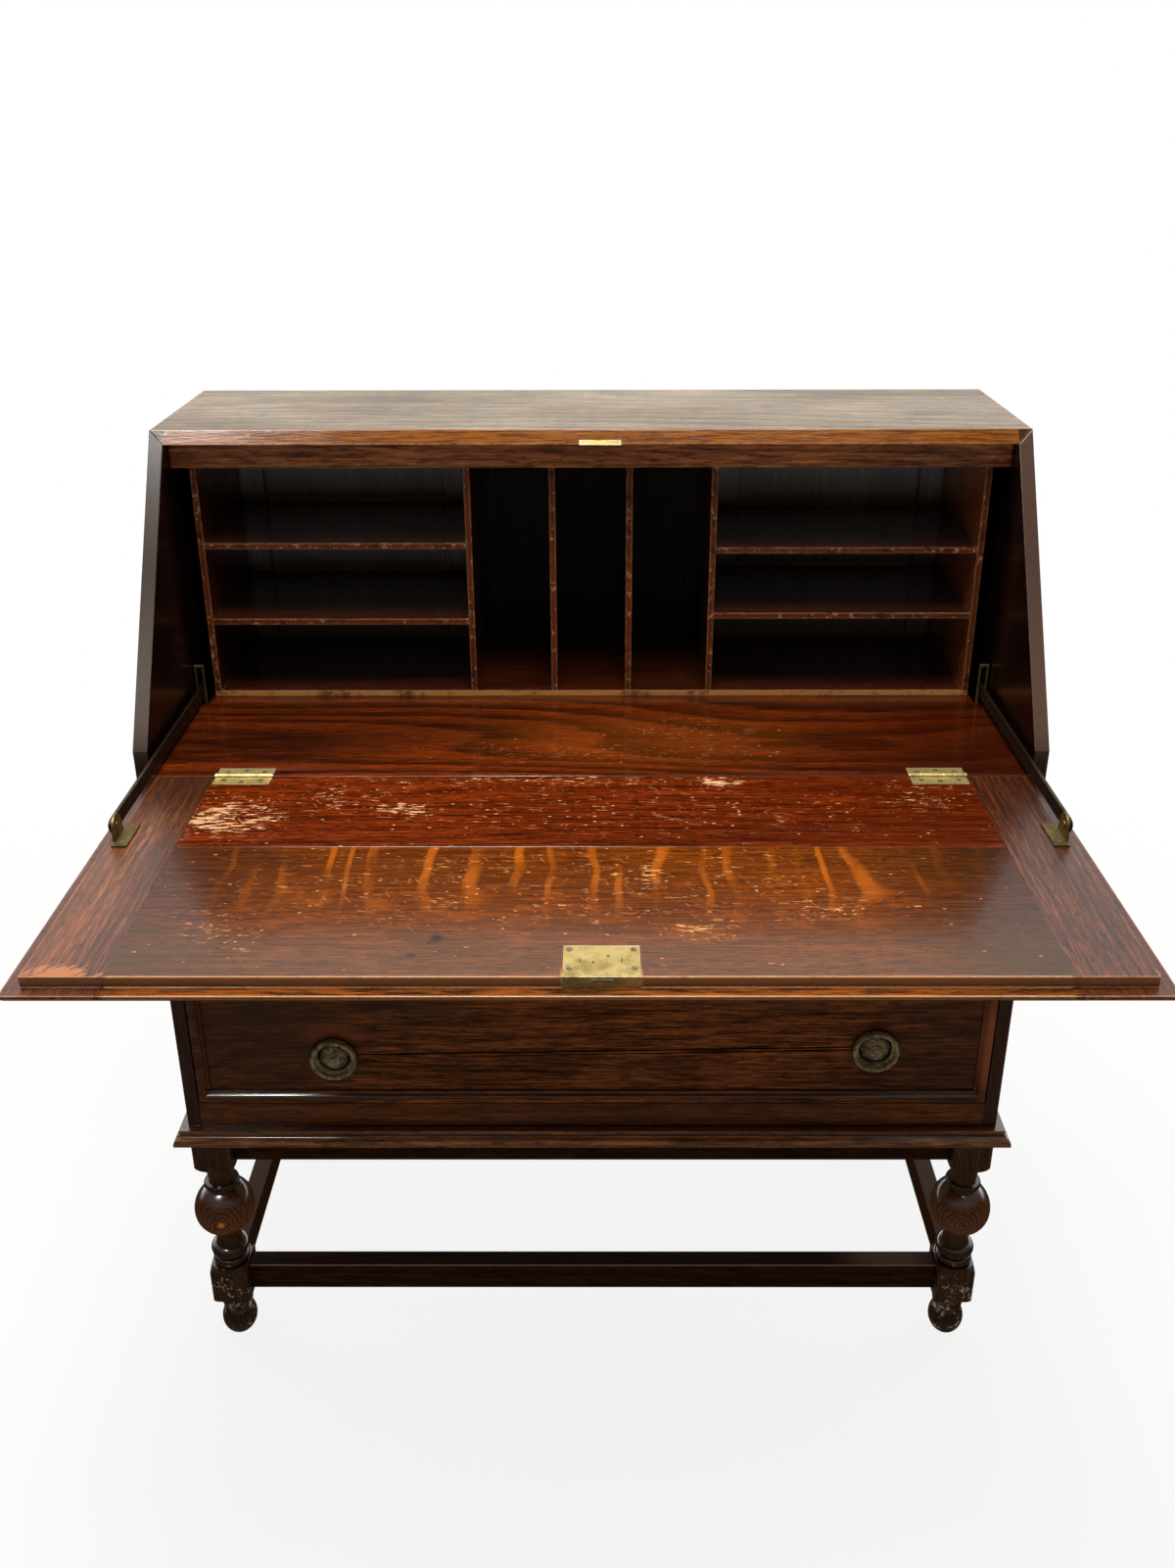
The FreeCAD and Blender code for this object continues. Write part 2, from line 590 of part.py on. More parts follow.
def stand():
    side = LEG_W / 2
    rows = {"front": side, "back": DEPTH - side}
    for row, y in rows.items():
        save("leg_%s_left" % row, leg(-LEG_X, y))
        save("leg_%s_right" % row, leg(LEG_X, y))
    in_x = LEG_X - side
    ends_y = (LEG_W, DEPTH - LEG_W)
    apron_z = (base_z - APRON_H, base_z)
    aprons = [box((-in_x, in_x), (y - APRON_T / 2, y + APRON_T / 2), apron_z) for y in rows.values()]
    aprons += both_sides(box((LEG_X - APRON_T / 2, LEG_X + APRON_T / 2), ends_y, apron_z))
    save("aprons", *aprons)
    reach = STRETCHER_T / 2
    rails = [box((-in_x, in_x), (y - reach, y + reach), STRETCHER_Z) for y in rows.values()]
    save("stretcher_front", rails[0])
    ends = both_sides(box((LEG_X - reach, LEG_X + reach), ends_y, STRETCHER_Z))
    save("stretchers_ends_and_back", rails[1], *ends)


def carcass():
    save("side_left", mirrored(side_panel()))
    save("side_right", side_panel())
    board, strike = top_and_strike()
    save("top", board)
    save("strike_plate", strike)
    save("bed", bed())
    save("hinge_leaves_bed", *both_sides(hinge_leaf(1, (0, 2, 4))))
    save("hinge_leaves_fall", *both_sides(hinge_leaf(-1, (1, 3))))
    save("hinge_pins", *both_sides(hinge_pin()))
    save("stay_keepers", *both_sides(stay_keeper()))
    save("stay_brackets", *both_sides(stay_bracket()))
    save("stay_pivots", *both_sides(stay_pivot()))
    save("stay_bar_left", mirrored(stay_bar()))
    save("stay_bar_right", stay_bar())


os.makedirs("parts", exist_ok=True)
carcass()
framed_back()
fitment()
drop_front()
drawer_stack()
base_moulding()
stand()
print("hinge line at y %.3f, z %.3f" % (hinge_y + frame_shift.y, BED_Z))
print("drop front shuts at %.3f degrees" % (180 - math.degrees(slope)))
print("front plane at y %.3f, lip at y %.3f" % (frame_shift.y, lip_y + frame_shift.y))
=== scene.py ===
import json
import math
import bpy
import bmesh
from mathutils import Matrix, Vector


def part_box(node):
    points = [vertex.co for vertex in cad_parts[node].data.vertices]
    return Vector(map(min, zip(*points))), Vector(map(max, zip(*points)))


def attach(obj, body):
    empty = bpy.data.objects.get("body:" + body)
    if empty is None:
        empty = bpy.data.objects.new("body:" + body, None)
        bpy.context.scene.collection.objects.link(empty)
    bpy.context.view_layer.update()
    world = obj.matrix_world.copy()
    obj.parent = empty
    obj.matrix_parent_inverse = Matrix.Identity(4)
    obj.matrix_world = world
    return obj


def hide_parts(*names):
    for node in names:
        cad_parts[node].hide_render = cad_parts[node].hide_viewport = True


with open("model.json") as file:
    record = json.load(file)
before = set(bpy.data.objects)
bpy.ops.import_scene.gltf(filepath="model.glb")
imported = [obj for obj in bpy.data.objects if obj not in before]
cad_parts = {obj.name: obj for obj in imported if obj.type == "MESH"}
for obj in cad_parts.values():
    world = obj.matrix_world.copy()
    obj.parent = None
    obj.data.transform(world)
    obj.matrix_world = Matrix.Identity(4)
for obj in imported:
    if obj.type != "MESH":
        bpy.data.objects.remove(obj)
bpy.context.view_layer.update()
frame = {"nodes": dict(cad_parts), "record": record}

from types import SimpleNamespace

nodes = frame["nodes"]
print("frame loaded,", len(nodes), "nodes")

mm = 0.001
quarter = math.pi / 2
weldDistance = 0.00001
white = (1.0, 1.0, 1.0, 1.0)


# node helpers

def paint(red, green, blue):
    # screen colour to the linear one that a socket takes
    channels = []
    for value in (red, green, blue):
        share = value / 255
        channels.append(share / 12.92 if share < 0.04045 else ((share + 0.055) / 1.055) ** 2.4)
    return (*channels, 1.0)


def setInputs(node, inputs):
    for key, value in inputs.items():
        if isinstance(value, bpy.types.NodeSocket):
            node.id_data.links.new(value, node.inputs[key])
        else:
            node.inputs[key].default_value = value


def addNode(tree, kind, inputs=None, **settings):
    node = tree.nodes.new(kind)
    for name, value in settings.items():
        setattr(node, name, value)
    setInputs(node, inputs or {})
    return node


def useNode(kind, inputs, **settings):
    # goes in the tree of the nodes that feed it
    tree = next(value.id_data for value in inputs.values() if isinstance(value, bpy.types.NodeSocket))
    return addNode(tree, kind, inputs, **settings)


def calc(operation, first, second=0.0):
    return useNode("ShaderNodeMath", {0: first, 1: second}, operation=operation).outputs[0]


def times(total, *others):
    for other in others:
        total = calc("MULTIPLY", total, other)
    return total


def plus(total, *others):
    for other in others:
        total = calc("ADD", total, other)
    return total


def minus(first, second):
    return calc("SUBTRACT", first, second)


def largest(masks):
    total = masks[0]
    for mask in masks[1:]:
        total = calc("MAXIMUM", total, mask)
    return total


def vectorCalc(operation, first, second=(0.0, 0.0, 0.0)):
    return useNode("ShaderNodeVectorMath", {0: first, 1: second}, operation=operation).outputs


def stretched(vector, shares):
    return vectorCalc("MULTIPLY", vector, shares)[0]


def mapped(vector, rotation, location=(0.0, 0.0, 0.0)):
    inputs = {"Vector": vector, "Rotation": rotation, "Location": location}
    return useNode("ShaderNodeMapping", inputs).outputs[0]


def split(vector):
    return useNode("ShaderNodeSeparateXYZ", {0: vector}).outputs


def fade(value, low, high, atLow=0.0, atHigh=1.0):
    inputs = {"Value": value, "From Min": low, "From Max": high, "To Min": atLow, "To Max": atHigh}
    return useNode("ShaderNodeMapRange", inputs, interpolation_type="SMOOTHSTEP").outputs[0]


def fadeOut(value, low, high):
    return fade(value, low, high, 1.0, 0.0)


def above(value, bar, width):
    return fade(value, bar, plus(bar, width))


def noise(vector, spec):
    if "stretch" in spec:
        vector = stretched(vector, spec["stretch"])
    inputs = {"Vector": vector, "Scale": spec["scale"], "Detail": spec.get("detail", 2.0),
              "Roughness": spec.get("roughness", 0.5)}
    return useNode("ShaderNodeTexNoise", inputs).outputs[0]


def noiseMask(vector, spec):
    return fade(noise(vector, spec), *spec["band"])


def mixValue(amount, under, over):
    return useNode("ShaderNodeMix", {0: amount, 2: under, 3: over}).outputs[0]


def layer(amount, under, over, mode="MIX"):
    inputs = {0: amount, 6: under, 7: over}
    return useNode("ShaderNodeMix", inputs, data_type="RGBA", blend_type=mode).outputs[2]


def newGroup(name, inputs, outputs):
    group = bpy.data.node_groups.new(name, "ShaderNodeTree")
    kinds = {"vector": "NodeSocketVector", "value": "NodeSocketFloat"}
    for label, kind in inputs.items():
        group.interface.new_socket(label, in_out="INPUT", socket_type=kinds[kind])
    for label in outputs:
        group.interface.new_socket(label, in_out="OUTPUT", socket_type=kinds["value"])
    return group, group.nodes.new("NodeGroupInput").outputs, group.nodes.new("NodeGroupOutput")


def useGroup(group, inputs):
    return useNode("ShaderNodeGroup", inputs, node_tree=group).outputs


def startMaterial(name):
    material = bpy.data.materials.new(name)
    material.use_nodes = True
    tree = material.node_tree
    return material, tree.nodes["Principled BSDF"], addNode(tree, "ShaderNodeTexCoord").outputs


# shared effects

grainSpec = {
    "sweep": {"stretch": (0.22, 1, 1), "scale": 5.0, "detail": 1.0},
    "ripple": {"stretch": (0.25, 1, 1), "scale": 45.0}, "rippleAmount": 0.012, "lean": 0.93,
    "ringRise": (0.0, 0.75), "ringFall": (0.84, 1.0),
    "streaks": {"stretch": (0.03, 1, 1), "scale": 430.0, "detail": 5.0, "roughness": 0.8, "band": (0.40, 0.60)},
    "fibre": {"stretch": (0.045, 1, 1), "scale": 520.0, "detail": 3.0, "roughness": 0.75, "band": (0.42, 0.60)},
    "pores": {"stretch": (0.11, 1, 1), "scale": 560.0, "band": (0.53, 0.63)},
    "mottle": {"stretch": (0.4, 1, 1), "scale": 8.0, "detail": 4.0, "roughness": 0.55, "band": (0.3, 0.7)},
}


def makeOakGrain(spec):
    inputs = {"Vector": "vector", "Ring Scale": "value", "Sweep": "value", "Ring Share": "value"}
    group, start, end = newGroup("oakGrain", inputs, ["Bands", "Fibre", "Pores", "Mottle"])
    vector = start["Vector"]
    parts = split(vector)
    across = plus(parts[1], times(parts[2], spec["lean"]),
                  times(noise(vector, spec["sweep"]), start["Sweep"]),
                  times(noise(vector, spec["ripple"]), spec["rippleAmount"]))
    ring = calc("FRACT", times(across, start["Ring Scale"]))
    rings = times(fade(ring, *spec["ringRise"]), fadeOut(ring, *spec["ringFall"]))
    streaks = noiseMask(vector, spec["streaks"])
    setInputs(end, {"Bands": mixValue(start["Ring Share"], streaks, rings),
                    "Fibre": noiseMask(vector, spec["fibre"]),
                    "Pores": noiseMask(vector, spec["pores"]),
                    "Mottle": noiseMask(vector, spec["mottle"])})
    return group


edgeSpec = {
    "samples": 6, "corner": (0.01, 0.16), "rub": {"scale": 75.0, "detail": 5.0, "roughness": 0.7},
    "bar": 0.85, "barDrop": 0.6, "barWidth": 0.2}


def makeEdgeWear(spec):
    group, start, end = newGroup("edgeWear", {"Vector": "vector", "Width": "value", "Amount": "value"}, ["Mask"])
    rounded = useNode("ShaderNodeBevel", {"Radius": start["Width"]}, samples=spec["samples"]).outputs[0]
    flat = addNode(group, "ShaderNodeNewGeometry").outputs["Normal"]
    facing = vectorCalc("DOT_PRODUCT", rounded, flat)["Value"]
    corner = fade(minus(1.0, facing), *spec["corner"])
    bar = minus(spec["bar"], times(start["Amount"], spec["barDrop"]))
    rubbed = above(noise(start["Vector"], spec["rub"]), bar, spec["barWidth"])
    setInputs(end, {"Mask": times(corner, rubbed)})
    return group


patchSpec = {"core": 0.2}


def makeSoftPatch(spec):
    group, start, end = newGroup("softPatch", {"Vector": "vector", "Centre": "vector", "Reach": "vector"}, ["Mask"])
    shifted = vectorCalc("SUBTRACT", start["Vector"], start["Centre"])[0]
    away = vectorCalc("LENGTH", vectorCalc("DIVIDE", shifted, start["Reach"])[0])["Value"]
    setInputs(end, {"Mask": fadeOut(away, spec["core"], 1.0)})
    return group


lossSpec = {
    "flakes": {"stretch": (0.24, 1, 1), "scale": 310.0, "detail": 6.0, "roughness": 0.7},
    "clumps": {"stretch": (0.5, 1, 1), "scale": 60.0, "detail": 3.0}, "clumpAmount": 0.22,
    "bar": 0.70, "barDrop": 0.17, "barWidth": 0.03,
    "dents": (0.45, 1, 1), "dentScale": 260.0, "dentSize": (0.10, 0.26), "dentShare": 0.3,
    "scratches": [{"turn": 0.1, "stretch": (0.12, 1, 1), "scale": 527.0, "detail": 1.0, "bar": 0.715},
                  {"turn": -0.7, "stretch": (0.10, 1, 1), "scale": 471.0, "detail": 1.0, "bar": 0.75},
                  {"turn": 0.95, "stretch": (0.10, 1, 1), "scale": 586.5, "detail": 1.0, "bar": 0.755}],
    "scratchDrop": 0.04, "scratchWidth": 0.03,
    # densities at which each kind sets in
    "flakeFrom": (0.02, 0.12), "flakeAmount": 0.95, "scratchFrom": (0.05, 0.3), "scratchAmount": 0.7,
}


def makeFinishLoss(spec):
    group, start, end = newGroup("finishLoss", {"Vector": "vector", "Density": "value"}, ["Flakes", "Lines"])
    vector, density = start["Vector"], start["Density"]
    clumps = times(minus(0.5, noise(vector, spec["clumps"])), spec["clumpAmount"])
    bar = plus(minus(spec["bar"], times(density, spec["barDrop"])), clumps)
    flakes = above(noise(vector, spec["flakes"]), bar, spec["barWidth"])
    cells = {"Vector": stretched(vector, spec["dents"]), "Scale": spec["dentScale"]}
    dents = useNode("ShaderNodeTexVoronoi", cells).outputs
    kept = calc("LESS_THAN", split(dents["Color"])[0], times(density, spec["dentShare"]))
    dots = times(fadeOut(dents["Distance"], *spec["dentSize"]), kept)
    scratches = []
    for line in spec["scratches"]:
        turned = mapped(vector, (0.0, 0.0, line["turn"]))
        lineBar = minus(line["bar"], times(density, spec["scratchDrop"]))
        scratches.append(above(noise(turned, line), lineBar, spec["scratchWidth"]))
    setInputs(end, {"Flakes": largest([flakes, dots]), "Lines": largest(scratches)})
    return group


chipSpec = {
    "specks": {"scale": 300.0, "detail": 4.0, "roughness": 0.72}, "clumps": {"scale": 55.0},
    "clumpAmount": 0.6, "bar": 0.92, "barDrop": 0.35, "barWidth": 0.05}


def makeChips(spec):
    group, start, end = newGroup("chips", {"Vector": "vector", "Density": "value"}, ["Mask"])
    clumps = times(minus(noise(start["Vector"], spec["clumps"]), 0.5), spec["clumpAmount"])
    specks = plus(noise(start["Vector"], spec["specks"]), clumps)
    bar = minus(spec["bar"], times(start["Density"], spec["barDrop"]))
    setInputs(end, {"Mask": above(specks, bar, spec["barWidth"])})
    return group


patinaSpec = {
    "stain": {"detail": 4.0, "roughness": 0.6, "band": (0.35, 0.72)},
    "brush": {"stretch": (1.0, 0.06, 1.0), "scale": 900.0, "band": (0.3, 0.7)}}


def makePatina(spec):
    group, start, end = newGroup("patina", {"Vector": "vector", "Scale": "value"}, ["Stain", "Brush"])
    stain = dict(spec["stain"], scale=start["Scale"])
    setInputs(end, {"Stain": noiseMask(start["Vector"], stain),
                    "Brush": noiseMask(start["Vector"], spec["brush"])})
    return group


# painted shade: an ambient occlusion mask darkens creases, joints and recesses
creviceSpec = {"samples": 6, "openness": (0.3, 0.78), "wax": (14, 7, 4)}


def makeCrevice(spec):
    group, start, end = newGroup("crevice", {"Reach": "value"}, ["Mask"])
    inputs = {"Distance": start["Reach"]}
    openness = useNode("ShaderNodeAmbientOcclusion", inputs, samples=spec["samples"]).outputs["AO"]
    setInputs(end, {"Mask": fadeOut(openness, *spec["openness"])})
    return group


oakGrain = makeOakGrain(grainSpec)
edgeWear = makeEdgeWear(edgeSpec)
softPatch = makeSoftPatch(patchSpec)
finishLoss = makeFinishLoss(lossSpec)
chips = makeChips(chipSpec)
patina = makePatina(patinaSpec)
crevice = makeCrevice(creviceSpec)
print("shared effects ready")


# wood finishes: grain runs along X before the turn

alongX = (0.0, 0.0, 0.0)
alongY = (0.0, 0.0, quarter)
alongZ = (0.0, quarter, 0.0)
writingLevel = 0.775
drawerFace = -0.0156
facingSpec = {"front": (-0.7, -0.4), "inner": (0.2, 0.5), "arrisFront": (-0.35, -0.2), "arrisUp": (0.2, 0.35)}
surfaceSpec = {
    "mottleRough": 0.08, "wornRough": 0.2, "lossRough": 0.35, "poreHeight": -0.6, "fibreHeight": -0.2,
    "bumpDistance": 0.0004}


def oakSpec(**changes):
    spec = {"turn": alongX, "offset": (0.0, 0.0, 0.0), "rings": 55.0, "sweep": 0.25, "ringShare": 0.35,
            "dark": (62, 26, 11), "light": (96, 46, 20), "deep": (30, 12, 6),
            "mottle": 0.45, "pores": 0.6, "fibre": 0.35, "worn": (150, 92, 52), "edge": 0.5, "edgeWidth": 0.0025,
            "gloss": 0.28, "specular": 0.4, "coat": 0.15, "coatRough": 0.2, "coatIor": 1.5,
            "bump": 0.14, "wax": 0.9, "waxReach": 0.008}
    spec.update(changes)
    return spec


def useGrain(vector, spec):
    return useGroup(oakGrain, {"Vector": vector, "Ring Scale": spec["rings"], "Sweep": spec["sweep"],
                               "Ring Share": spec["ringShare"]})


def startOak(name, spec):
    material, shader, sources = startMaterial(name)
    place = sources["Object"]
    grainPlace = mapped(place, spec["turn"], spec["offset"])
    grain = useGrain(grainPlace, spec)
    colour = layer(grain["Bands"], paint(*spec["dark"]), paint(*spec["light"]))
    for part in ("Mottle", "Fibre", "Pores"):
        colour = layer(times(grain[part], spec[part.lower()]), colour, paint(*spec["deep"]))
    x, y, z = split(place)
    faceX, faceY, faceZ = split(sources["Normal"])
    return SimpleNamespace(material=material, shader=shader, place=place, x=x, y=y, z=z, faceX=faceX, faceY=faceY,
                           faceZ=faceZ, grainPlace=grainPlace, grain=grain, colour=colour, loss=None, polish=None,
                           outer=None)


def tintOak(wood, amount, colour, mode="MIX"):
    wood.colour = layer(amount, wood.colour, paint(*colour), mode)


def finishOak(wood, spec):
    grain = wood.grain
    wear = {"Vector": wood.place, "Width": spec["edgeWidth"], "Amount": spec["edge"]}
    edge = useGroup(edgeWear, wear)["Mask"]
    if wood.outer is not None:
        edge = times(edge, wood.outer)
    tintOak(wood, edge, spec["worn"])
    # painted shade in creases and joints, from the ambient occlusion mask
    reach = {"Reach": spec["waxReach"]}
    wax = addNode(wood.material.node_tree, "ShaderNodeGroup", reach, node_tree=crevice).outputs["Mask"]
    tintOak(wood, times(wax, spec["wax"]), creviceSpec["wax"])
    rough = plus(spec["gloss"], times(grain["Mottle"], surfaceSpec["mottleRough"]),
                 times(edge, surfaceSpec["wornRough"]))
    height = plus(times(grain["Pores"], surfaceSpec["poreHeight"]),
                  times(grain["Fibre"], surfaceSpec["fibreHeight"]))
    if wood.loss is not None:
        rough = plus(rough, times(wood.loss, surfaceSpec["lossRough"]))
        height = minus(height, wood.loss)
    if wood.polish is not None:
        rough = minus(rough, wood.polish)
    bump = {"Height": height, "Strength": spec["bump"], "Distance": surfaceSpec["bumpDistance"]}
    setInputs(wood.shader, {"Base Color": wood.colour, "Roughness": rough,
                            "Normal": useNode("ShaderNodeBump", bump).outputs[0],
                            "Specular IOR Level": spec["specular"], "Coat Weight": spec["coat"],
                            "Coat Roughness": spec["coatRough"], "Coat IOR": spec["coatIor"]})
    return wood.material


def deskPatch(x, y, reachX, reachY, amount, reachZ=0.05):
    return (x, y, writingLevel), (reachX, reachY, reachZ), amount


def drawerPatch(x, z, reachX, reachZ, amount, y=drawerFace, reachY=0.05):
    return (x, y, z), (reachX, reachY, reachZ), amount


def patchMask(wood, patches):
    masks = []
    for centre, reach, amount in patches:
        inputs = {"Vector": wood.place, "Centre": centre, "Reach": reach}
        masks.append(times(useGroup(softPatch, inputs)["Mask"], amount))
    return largest(masks)


def addLoss(wood, density, spec):
    loss = useGroup(finishLoss, {"Vector": wood.grainPlace, "Density": density})
    lines = times(loss["Lines"], fade(density, *lossSpec["scratchFrom"]))
    tintOak(wood, times(lines, lossSpec["scratchAmount"]), spec["scratch"])
    flakes = times(loss["Flakes"], fade(density, *lossSpec["flakeFrom"]))
    tintOak(wood, times(flakes, lossSpec["flakeAmount"]), spec["flake"])
    wood.loss = largest([flakes, lines])


def addChips(wood, density, colour):
    wood.loss = useGroup(chips, {"Vector": wood.place, "Density": density})["Mask"]
    tintOak(wood, wood.loss, colour)


def offCentre(wood):
    return calc("ABSOLUTE", wood.x)


def facingFront(wood):
    return fadeOut(wood.faceY, *facingSpec["front"])


def innerFace(wood):
    return fade(wood.faceZ, *facingSpec["inner"])


def frontArris(wood):
    return times(fadeOut(wood.faceY, *facingSpec["arrisFront"]),
                 fade(wood.faceZ, *facingSpec["arrisUp"]))


def makeOak(name, spec, dress=None):
    wood = startOak(name, spec)
    if dress:
        dress(wood, spec)
    return finishOak(wood, spec)


# painted sheen: the pale light tone of the top stands in for its grazing reflection
topSpec = oakSpec(
    dark=(62, 43, 25), light=(162, 138, 96), deep=(44, 30, 17), worn=(166, 108, 62), edge=0.75,
    edgeWidth=0.004, gloss=0.4, specular=0.32, coat=0.0, offset=(0.3, 0.7, 0.1),
    front=(150, 88, 28), frontGrain=(76, 36, 8), grainAmount=0.8, frontPolish=0.28,
    corner=(0.4422, 0.4430), cornerColour=(52, 34, 22), cornerAmount=0.9)


def dressTop(wood, spec):
    front = facingFront(wood)
    tintOak(wood, front, spec["front"])
    tintOak(wood, times(wood.grain["Fibre"], spec["grainAmount"], front), spec["frontGrain"])
    # the side boards run up to the top surface at the front corners
    corner = fade(offCentre(wood), *spec["corner"])
    tintOak(wood, times(corner, front, spec["cornerAmount"]), spec["cornerColour"])
    wood.polish = times(front, spec["frontPolish"])


sideSpec = oakSpec(
    turn=alongZ, dark=(46, 20, 11), light=(68, 32, 17), deep=(26, 11, 6), worn=(124, 98, 80), edge=0.5,
    gloss=0.2, specular=0.3, front=(108, 97, 90), bend=(0.78, 0.83, 0.06, 0.85),
    upper=(52, 34, 22), rise=(0.84, 0.98, 0.0, 0.85), middle=(-0.1, 0.1), upperRight=0.5,
    right=(92, 58, 40), rightAmount=0.7, inner=(16, 5, 4), innerBand=(-0.4, -0.2, 0.85, 0.0))


def dressSide(wood, spec):
    front = facingFront(wood)
    # painted sheen: grey above the bend of the front edge, brown again near the top
    edge = times(front, fade(wood.z, *spec["bend"]))
    tintOak(wood, edge, spec["front"])
    right = fade(wood.x, *spec["middle"])
    tintOak(wood, times(right, edge, spec["rightAmount"]), spec["right"])
    upper = times(front, fade(wood.z, *spec["rise"]))
    sides = fade(wood.x, *spec["middle"], 1.0, spec["upperRight"])
    tintOak(wood, times(upper, sides), spec["upper"])
    # painted shade: the inner faces of the sides made near black
    tintOak(wood, fade(times(wood.x, wood.faceX), *spec["innerBand"]), spec["inner"])


bedSpec = oakSpec(
    dark=(32, 7, 1), light=(150, 60, 14), deep=(16, 4, 1), mottle=0.5, rings=38.0, sweep=0.34,
    ringShare=0.55, edge=0.45, worn=(170, 110, 62), gloss=0.16, specular=0.5, coat=0.5,
    coatRough=0.05, offset=(0.2, 0.35, 0.0),
    marks=[deskPatch(0.02, 0.03, 0.30, 0.05, 0.30), deskPatch(0.10, 0.08, 0.16, 0.05, 0.34)],
    flake=(188, 122, 76), scratch=(176, 104, 62),
    glow=[deskPatch(0.06, 0.06, 0.26, 0.10, 0.15)], glowColour=(164, 88, 26),
    shade=[deskPatch(0.42, 0.05, 0.24, 0.24, 0.75), deskPatch(-0.44, 0.10, 0.16, 0.10, 0.25)],
    shadeColour=(50, 13, 3))


def dressBed(wood, spec):
    tintOak(wood, patchMask(wood, spec["glow"]), spec["glowColour"])
    tintOak(wood, patchMask(wood, spec["shade"]), spec["shadeColour"])
    addLoss(wood, patchMask(wood, spec["marks"]), spec)


# drop front: finishes that its boards share

showSpec = {"dark": (58, 26, 4), "light": (128, 62, 14), "facing": (-0.6, -0.3, 0.8, 0.0), "dull": 0.22}


def addShowFace(wood):
    show = fade(wood.faceZ, *showSpec["facing"])
    finish = layer(wood.grain["Bands"], paint(*showSpec["dark"]), paint(*showSpec["light"]))
    wood.colour = layer(show, wood.colour, finish)
    wood.polish = times(show, -showSpec["dull"])


lipSpec = {
    "level": 0.7668, "blur": 0.0006, "upward": (0.3, 0.6), "fibre": -0.7,
    "golden": {"stretch": (0.12, 1.0, 1.0), "scale": 150.0, "detail": 4.0, "roughness": 0.7,
               "band": (0.41, 0.57)},
    "gold": (158, 82, 28), "step": (158, 104, 66), "stepHeight": 0.002, "stepAmount": 0.7,
    "rubbed": (236, 184, 132), "joint": 0.3765, "jointClear": (0.002, 0.005)}


def addLip(wood, spec):
    level = lipSpec["level"]
    grained = plus(spec["lipAmount"], times(wood.grain["Fibre"], lipSpec["fibre"]))
    shelf = times(fadeOut(wood.z, level, level + lipSpec["blur"]),
                  fade(wood.faceZ, *lipSpec["upward"]), grained)
    tintOak(wood, shelf, spec["lip"])
    golden = noiseMask(wood.place, lipSpec["golden"])
    tintOak(wood, times(shelf, golden, spec["lipGold"]), lipSpec["gold"])
    step = times(fade(wood.z, level - lipSpec["stepHeight"], level), facingFront(wood))
    tintOak(wood, times(step, lipSpec["stepAmount"]), lipSpec["step"])
    tintOak(wood, frontArris(wood), lipSpec["rubbed"])


def innerLoss(wood, spec):
    density = plus(patchMask(wood, spec["marks"]), spec["scattered"])
    addLoss(wood, times(density, innerFace(wood)), spec)


rearSpec = oakSpec(
    dark=(70, 18, 2), light=(160, 62, 16), deep=(34, 8, 1), mottle=0.35, pores=0.7, fibre=0.55,
    gloss=0.11, specular=0.4, coat=0.12, coatRough=0.06, offset=(0.5, 0.11, 0.0),
    worn=(190, 128, 84), edge=0.6, rings=45.0, ringShare=0.3, wornEdge=(-0.15, -0.04, 0.05, 0.6),
    shade=(66, 16, 3), shadeBand=(-0.15, 0.40, 0.0, 0.4), scattered=0.1,
    flake=(234, 184, 132), scratch=(200, 128, 78),
    marks=[deskPatch(-0.343, -0.115, 0.080, 0.060, 1.0), deskPatch(-0.175, -0.098, 0.06, 0.026, 0.9),
           deskPatch(-0.239, -0.075, 0.10, 0.05, 0.5), deskPatch(0.1235, -0.040, 0.05, 0.018, 0.95),
           deskPatch(0.324, -0.072, 0.06, 0.045, 0.45), deskPatch(-0.03, -0.038, 0.33, 0.018, 0.5),
           deskPatch(0.02, -0.09, 0.40, 0.08, 0.2)])


def dressFallRear(wood, spec):
    tintOak(wood, fade(wood.x, *spec["shadeBand"]), spec["shade"])
    addShowFace(wood)
    innerLoss(wood, spec)
    wood.outer = fade(wood.y, *spec["wornEdge"])


# pale rays in the front board, strongest at the joint behind it
flameSpec = {
    "perMetre": 29.0, "colour": (200, 104, 22), "amount": 0.6, "crest": (0.42, 0.98), "reach": (-0.300, -0.215),
    "sway": {"stretch": (5.0, 11.0, 1.0), "scale": 1.2, "detail": 1.0}, "swayAmount": 1.3,
    "uneven": {"stretch": (14.0, 0.6, 1.0), "scale": 1.0, "detail": 1.0}, "unevenAmount": 3.2,
    "broken": {"stretch": (13.0, 4.0, 1.0), "scale": 2.4, "detail": 3.0, "band": (0.36, 0.66)},
    "middle": (0.22, 0.41), "ground": (134, 66, 20), "groundAmount": 0.2,
    "amber": {"stretch": (0.5, 1.0, 1.0), "scale": 60.0, "detail": 5.0, "roughness": 0.7, "band": (0.5, 0.66)},
    "amberColour": (180, 92, 20), "amberAmount": 0.3, "amberFrom": (-0.21, -0.25), "amberMiddle": (0.25, 0.42),
}


def addFlames(wood, spec):
    place = wood.place
    across = plus(times(wood.x, spec["perMetre"]),
                  times(noise(place, spec["sway"]), spec["swayAmount"]),
                  times(noise(place, spec["uneven"]), spec["unevenAmount"]))
    flame = fade(calc("SINE", times(across, math.tau)), *spec["crest"])
    middle = fadeOut(offCentre(wood), *spec["middle"])
    rays = times(flame, noiseMask(place, spec["broken"]), fade(wood.y, *spec["reach"]), middle)
    tintOak(wood, times(middle, spec["groundAmount"]), spec["ground"])
    tintOak(wood, times(rays, spec["amount"]), spec["colour"])
    amber = times(noiseMask(place, spec["amber"]), fade(wood.y, *spec["amberFrom"]),
                  fadeOut(offCentre(wood), *spec["amberMiddle"]), spec["amberAmount"])
    tintOak(wood, amber, spec["amberColour"])


